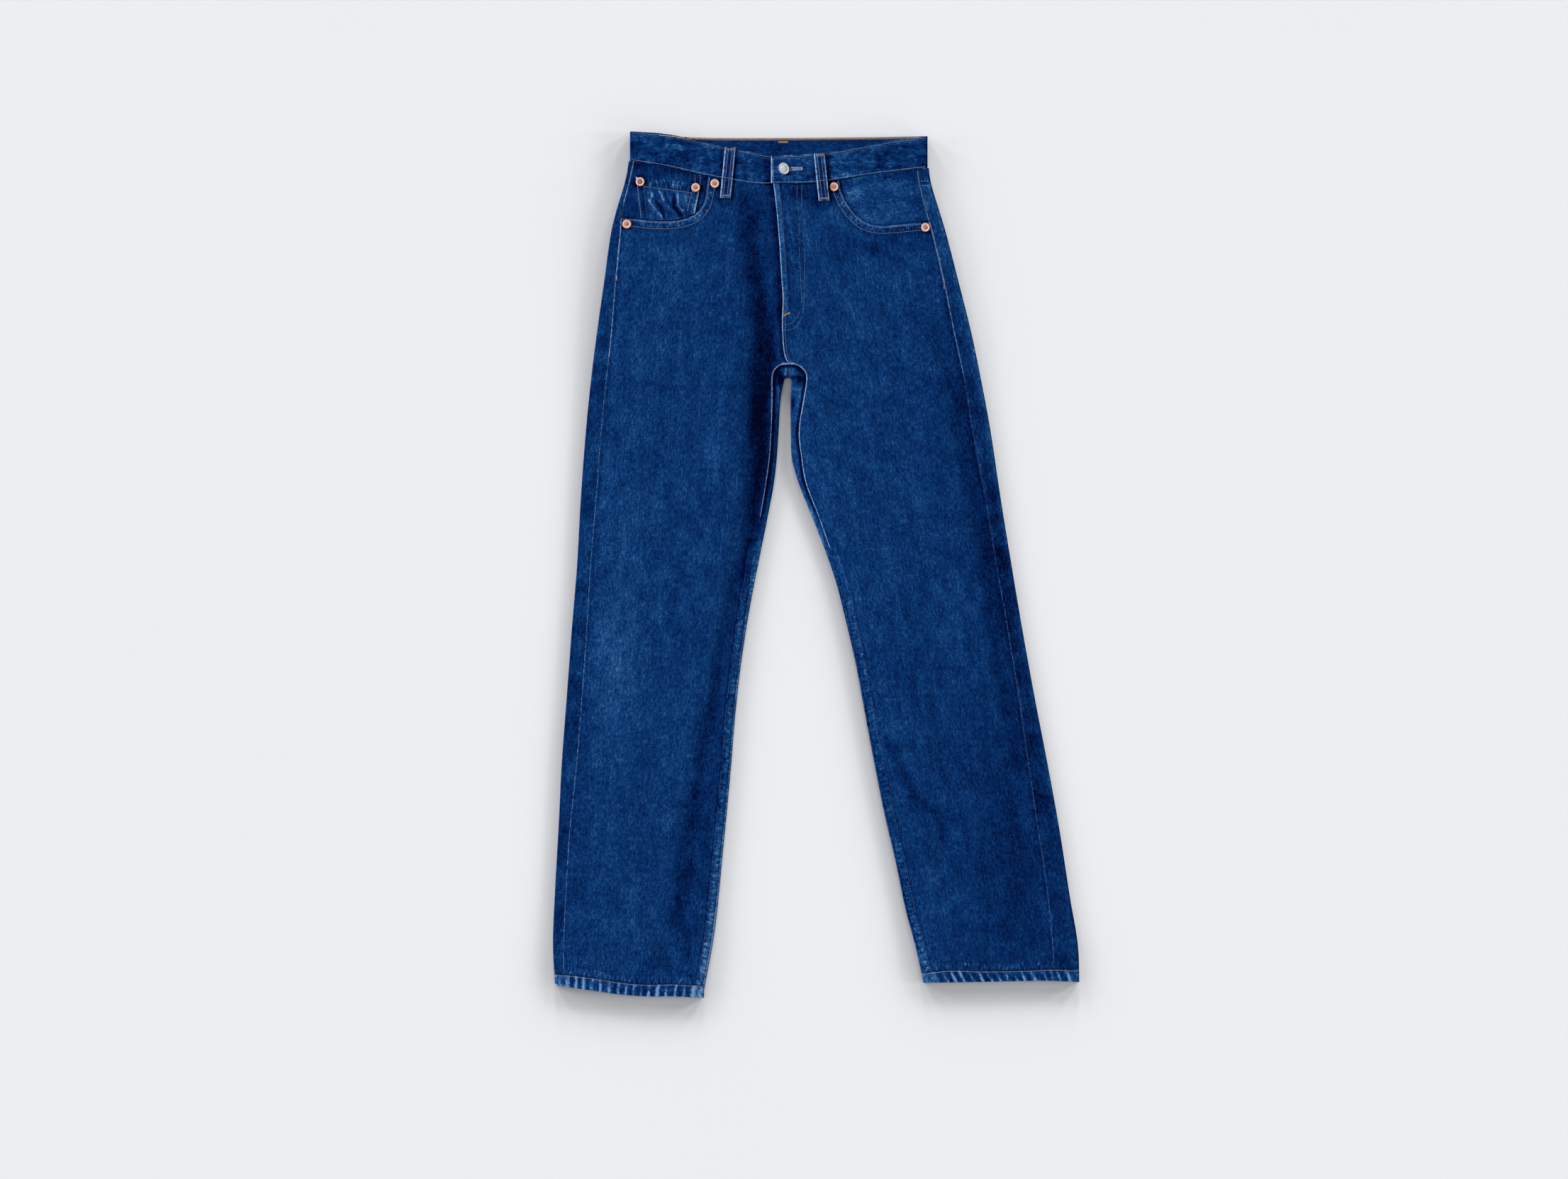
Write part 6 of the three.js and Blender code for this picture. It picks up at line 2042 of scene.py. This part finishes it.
def thread_material(name, colour):
    n = Nodes(name)
    place = n.tree.nodes.new("ShaderNodeTexCoord").outputs["Object"]
    ply = n.noise(n.scaled(place, 1500, 1500, 1500), 1.0)
    tone = n.add(0.5, n.times(n.attribute("tint"), 0.16), n.centred(ply, 0.3))
    dark = tuple(c * 0.55 for c in colour)
    light = tuple(min(1, c * 1.35 + 0.03) for c in colour)
    n.link(n.ramp(tone, [(0.1, dark), (0.5, colour), (0.95, light)]), n.shader.inputs["Base Color"])
    n.bump(ply, 0.0002, 0.6)
    n.uniform({"Roughness": 0.75, "Specular IOR Level": 0.2})
    return n.material


def metal(name, stops, hollow, roughness, metallic):
    n = Nodes(name)
    place = n.tree.nodes.new("ShaderNodeTexCoord").outputs["Object"]
    patina = n.noise(n.scaled(place, 420, 420, 420), 3.0, 0.6)
    scratch = n.noise(n.scaled(place, 2600, 300, 900), 2.0, 0.6)
    tone = n.add(n.times(patina, 0.75), n.times(scratch, 0.25))
    plain = n.ramp(tone, stops)
    n.link(n.mix(n.attribute("inner"), plain, hollow), n.shader.inputs["Base Color"])
    shine = n.math("ADD", n.times(patina, 0.25), roughness)
    n.link(shine, n.shader.inputs["Roughness"])
    n.uniform({"Metallic": metallic})
    n.bump(n.add(n.times(patina, 0.5), n.times(scratch, 0.3)), 0.0001, 0.5)
    return n.material


def floor_material():
    n = Nodes("pale_floor")
    place = n.tree.nodes.new("ShaderNodeTexCoord").outputs["Object"]
    soft = n.noise(n.scaled(place, 2.0, 2.0, 2.0), 1.0)
    pale, paler = linear(239, 240, 243), linear(241, 242, 245)
    n.link(n.mix(soft, pale, paler), n.shader.inputs["Base Color"])
    n.uniform({"Roughness": 1.0, "Specular IOR Level": 0.0})
    return n.material


# Camera, floor and light

def add_camera():
    data = bpy.data.cameras.new("camera")
    data.sensor_width = SENSOR_WIDTH
    data.lens = SENSOR_WIDTH * CAMERA_HEIGHT / VIEW_WIDTH
    data.clip_start, data.clip_end = 0.1, 50
    camera = bpy.data.objects.new("camera", data)
    camera.location = (VIEW_CENTRE[0] * MM, VIEW_CENTRE[1] * MM, CAMERA_HEIGHT * MM)
    bpy.context.scene.collection.objects.link(camera)
    bpy.context.scene.camera = camera


def add_floor():
    far = FLOOR_HALF
    points = [(-far, -far, 0), (far, -far, 0), (far, far, 0), (-far, far, 0)]
    floor = make_mesh("floor", points, [(0, 1, 2, 3)], floor_material(), smooth_faces=False)
    floor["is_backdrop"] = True
    return floor


def add_sun(name, azimuth, elevation, angle, strength, receivers):
    """A broad soft light. Azimuth is the way it comes from, counted from +X towards +Y."""
    data = bpy.data.lights.new(name, "SUN")
    data.energy = strength
    data.angle = math.radians(angle)
    sun = bpy.data.objects.new(name, data)
    sun.rotation_euler = (0, math.radians(90 - elevation), math.radians(azimuth))
    bpy.context.scene.collection.objects.link(sun)
    group = bpy.data.collections.new(name + " lights")
    for receiver in receivers:
        group.objects.link(receiver)
    sun.light_linking.receiver_collection = group


def add_lights(floor):
    world = bpy.data.worlds.new("studio")
    world.use_nodes = True
    background = world.node_tree.nodes["Background"]
    background.inputs["Color"].default_value = (0.97, 0.98, 1.0, 1)
    background.inputs["Strength"].default_value = WORLD_LIGHT
    bpy.context.scene.world = world
    cloth = list(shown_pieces())
    for azimuth in range(0, 360, RING_STEP):
        share = 1 + RING_BIAS * math.cos(math.radians(azimuth - RING_HEADING))
        if share > LEAST_RING_SHARE:
            strength = RING_ENERGY * share
            add_sun("floor_ring_%d" % azimuth, azimuth, RING_ELEVATION, RING_SOFTNESS, strength, [floor])
    add_sun("cloth_key", KEY_AZIMUTH, KEY_ELEVATION, KEY_SOFTNESS, KEY_ENERGY, cloth)
    scene = bpy.context.scene
    scene.view_settings.view_transform = "Standard"
    scene.view_settings.look = "None"


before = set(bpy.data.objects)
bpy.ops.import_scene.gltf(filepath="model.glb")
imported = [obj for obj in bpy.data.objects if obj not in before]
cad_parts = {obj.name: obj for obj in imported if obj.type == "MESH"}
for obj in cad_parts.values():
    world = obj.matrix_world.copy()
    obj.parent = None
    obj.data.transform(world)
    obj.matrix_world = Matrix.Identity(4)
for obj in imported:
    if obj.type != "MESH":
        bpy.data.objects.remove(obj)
cad_box = [list(corner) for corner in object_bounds()]

# Each kind of denim: its tone, how mottled it is and how creased.
DENIM = {
    "denim_front": denim("denim_front", 0.485, 1.15),
    "denim_back": denim("denim_back", 0.455, 1.1),
    "denim_pocket": denim("denim_pocket", 0.48, 1.0, 1.1),
    "denim_band": denim("denim_band", 0.44, 1.0, 1.3),
    "denim_hem": denim("denim_hem", 0.50, 1.4),
}
TAN = thread_material("thread_tan", linear(146, 138, 146))
ORANGE = thread_material("thread_orange", linear(178, 142, 116))
GOLD = thread_material("thread_gold", linear(198, 168, 128))
PALE = thread_material("thread_pale", linear(142, 160, 192))
FAINT = thread_material("thread_faint", linear(84, 114, 158))
COPPER_STOPS = [(0.3, linear(206, 152, 132)), (0.55, linear(236, 190, 172)), (0.75, linear(248, 214, 200))]
COPPER = metal("rivet_copper", COPPER_STOPS, linear(150, 84, 58), 0.5, 0.15)
STEEL_STOPS = [(0.3, linear(160, 164, 170)), (0.55, linear(192, 195, 200)), (0.75, linear(212, 214, 218))]
STEEL = metal("button_metal", STEEL_STOPS, linear(120, 126, 138), 0.5, 0.25)

for side in (RIGHT, LEFT):
    add_front(side)
    add_back(side)
    add_yoke(side)
    add_facing(side)
    add_back_pocket(side)
    add_hem(side)
add_coin_pocket()
add_waistband()
for loop in FRONT_LOOPS:
    add_loop(loop, True)
for loop in BACK_LOOPS:
    add_loop(loop, False)

tree = build_tree()
tan, orange, pale, faint, gold = Thread(), Thread(), Thread(), Thread(), Thread()
sew_front(tree, pale, tan, orange, faint, gold)
sew_loops(tree, tan, orange)
sew_back(tree, tan)
sew_buttonhole(tree, pale)
tan.build("stitches_tan", TAN, "thread_tan")
orange.build("stitches_orange", ORANGE, "thread_orange")
pale.build("stitches_pale", PALE, "thread_pale")
faint.build("stitches_faint", FAINT, "thread_pale")
gold.build("stitches_gold", GOLD, "thread_orange")
add_hardware()

add_camera()
add_lights(add_floor())
visual_box = [list(corner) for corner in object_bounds()]
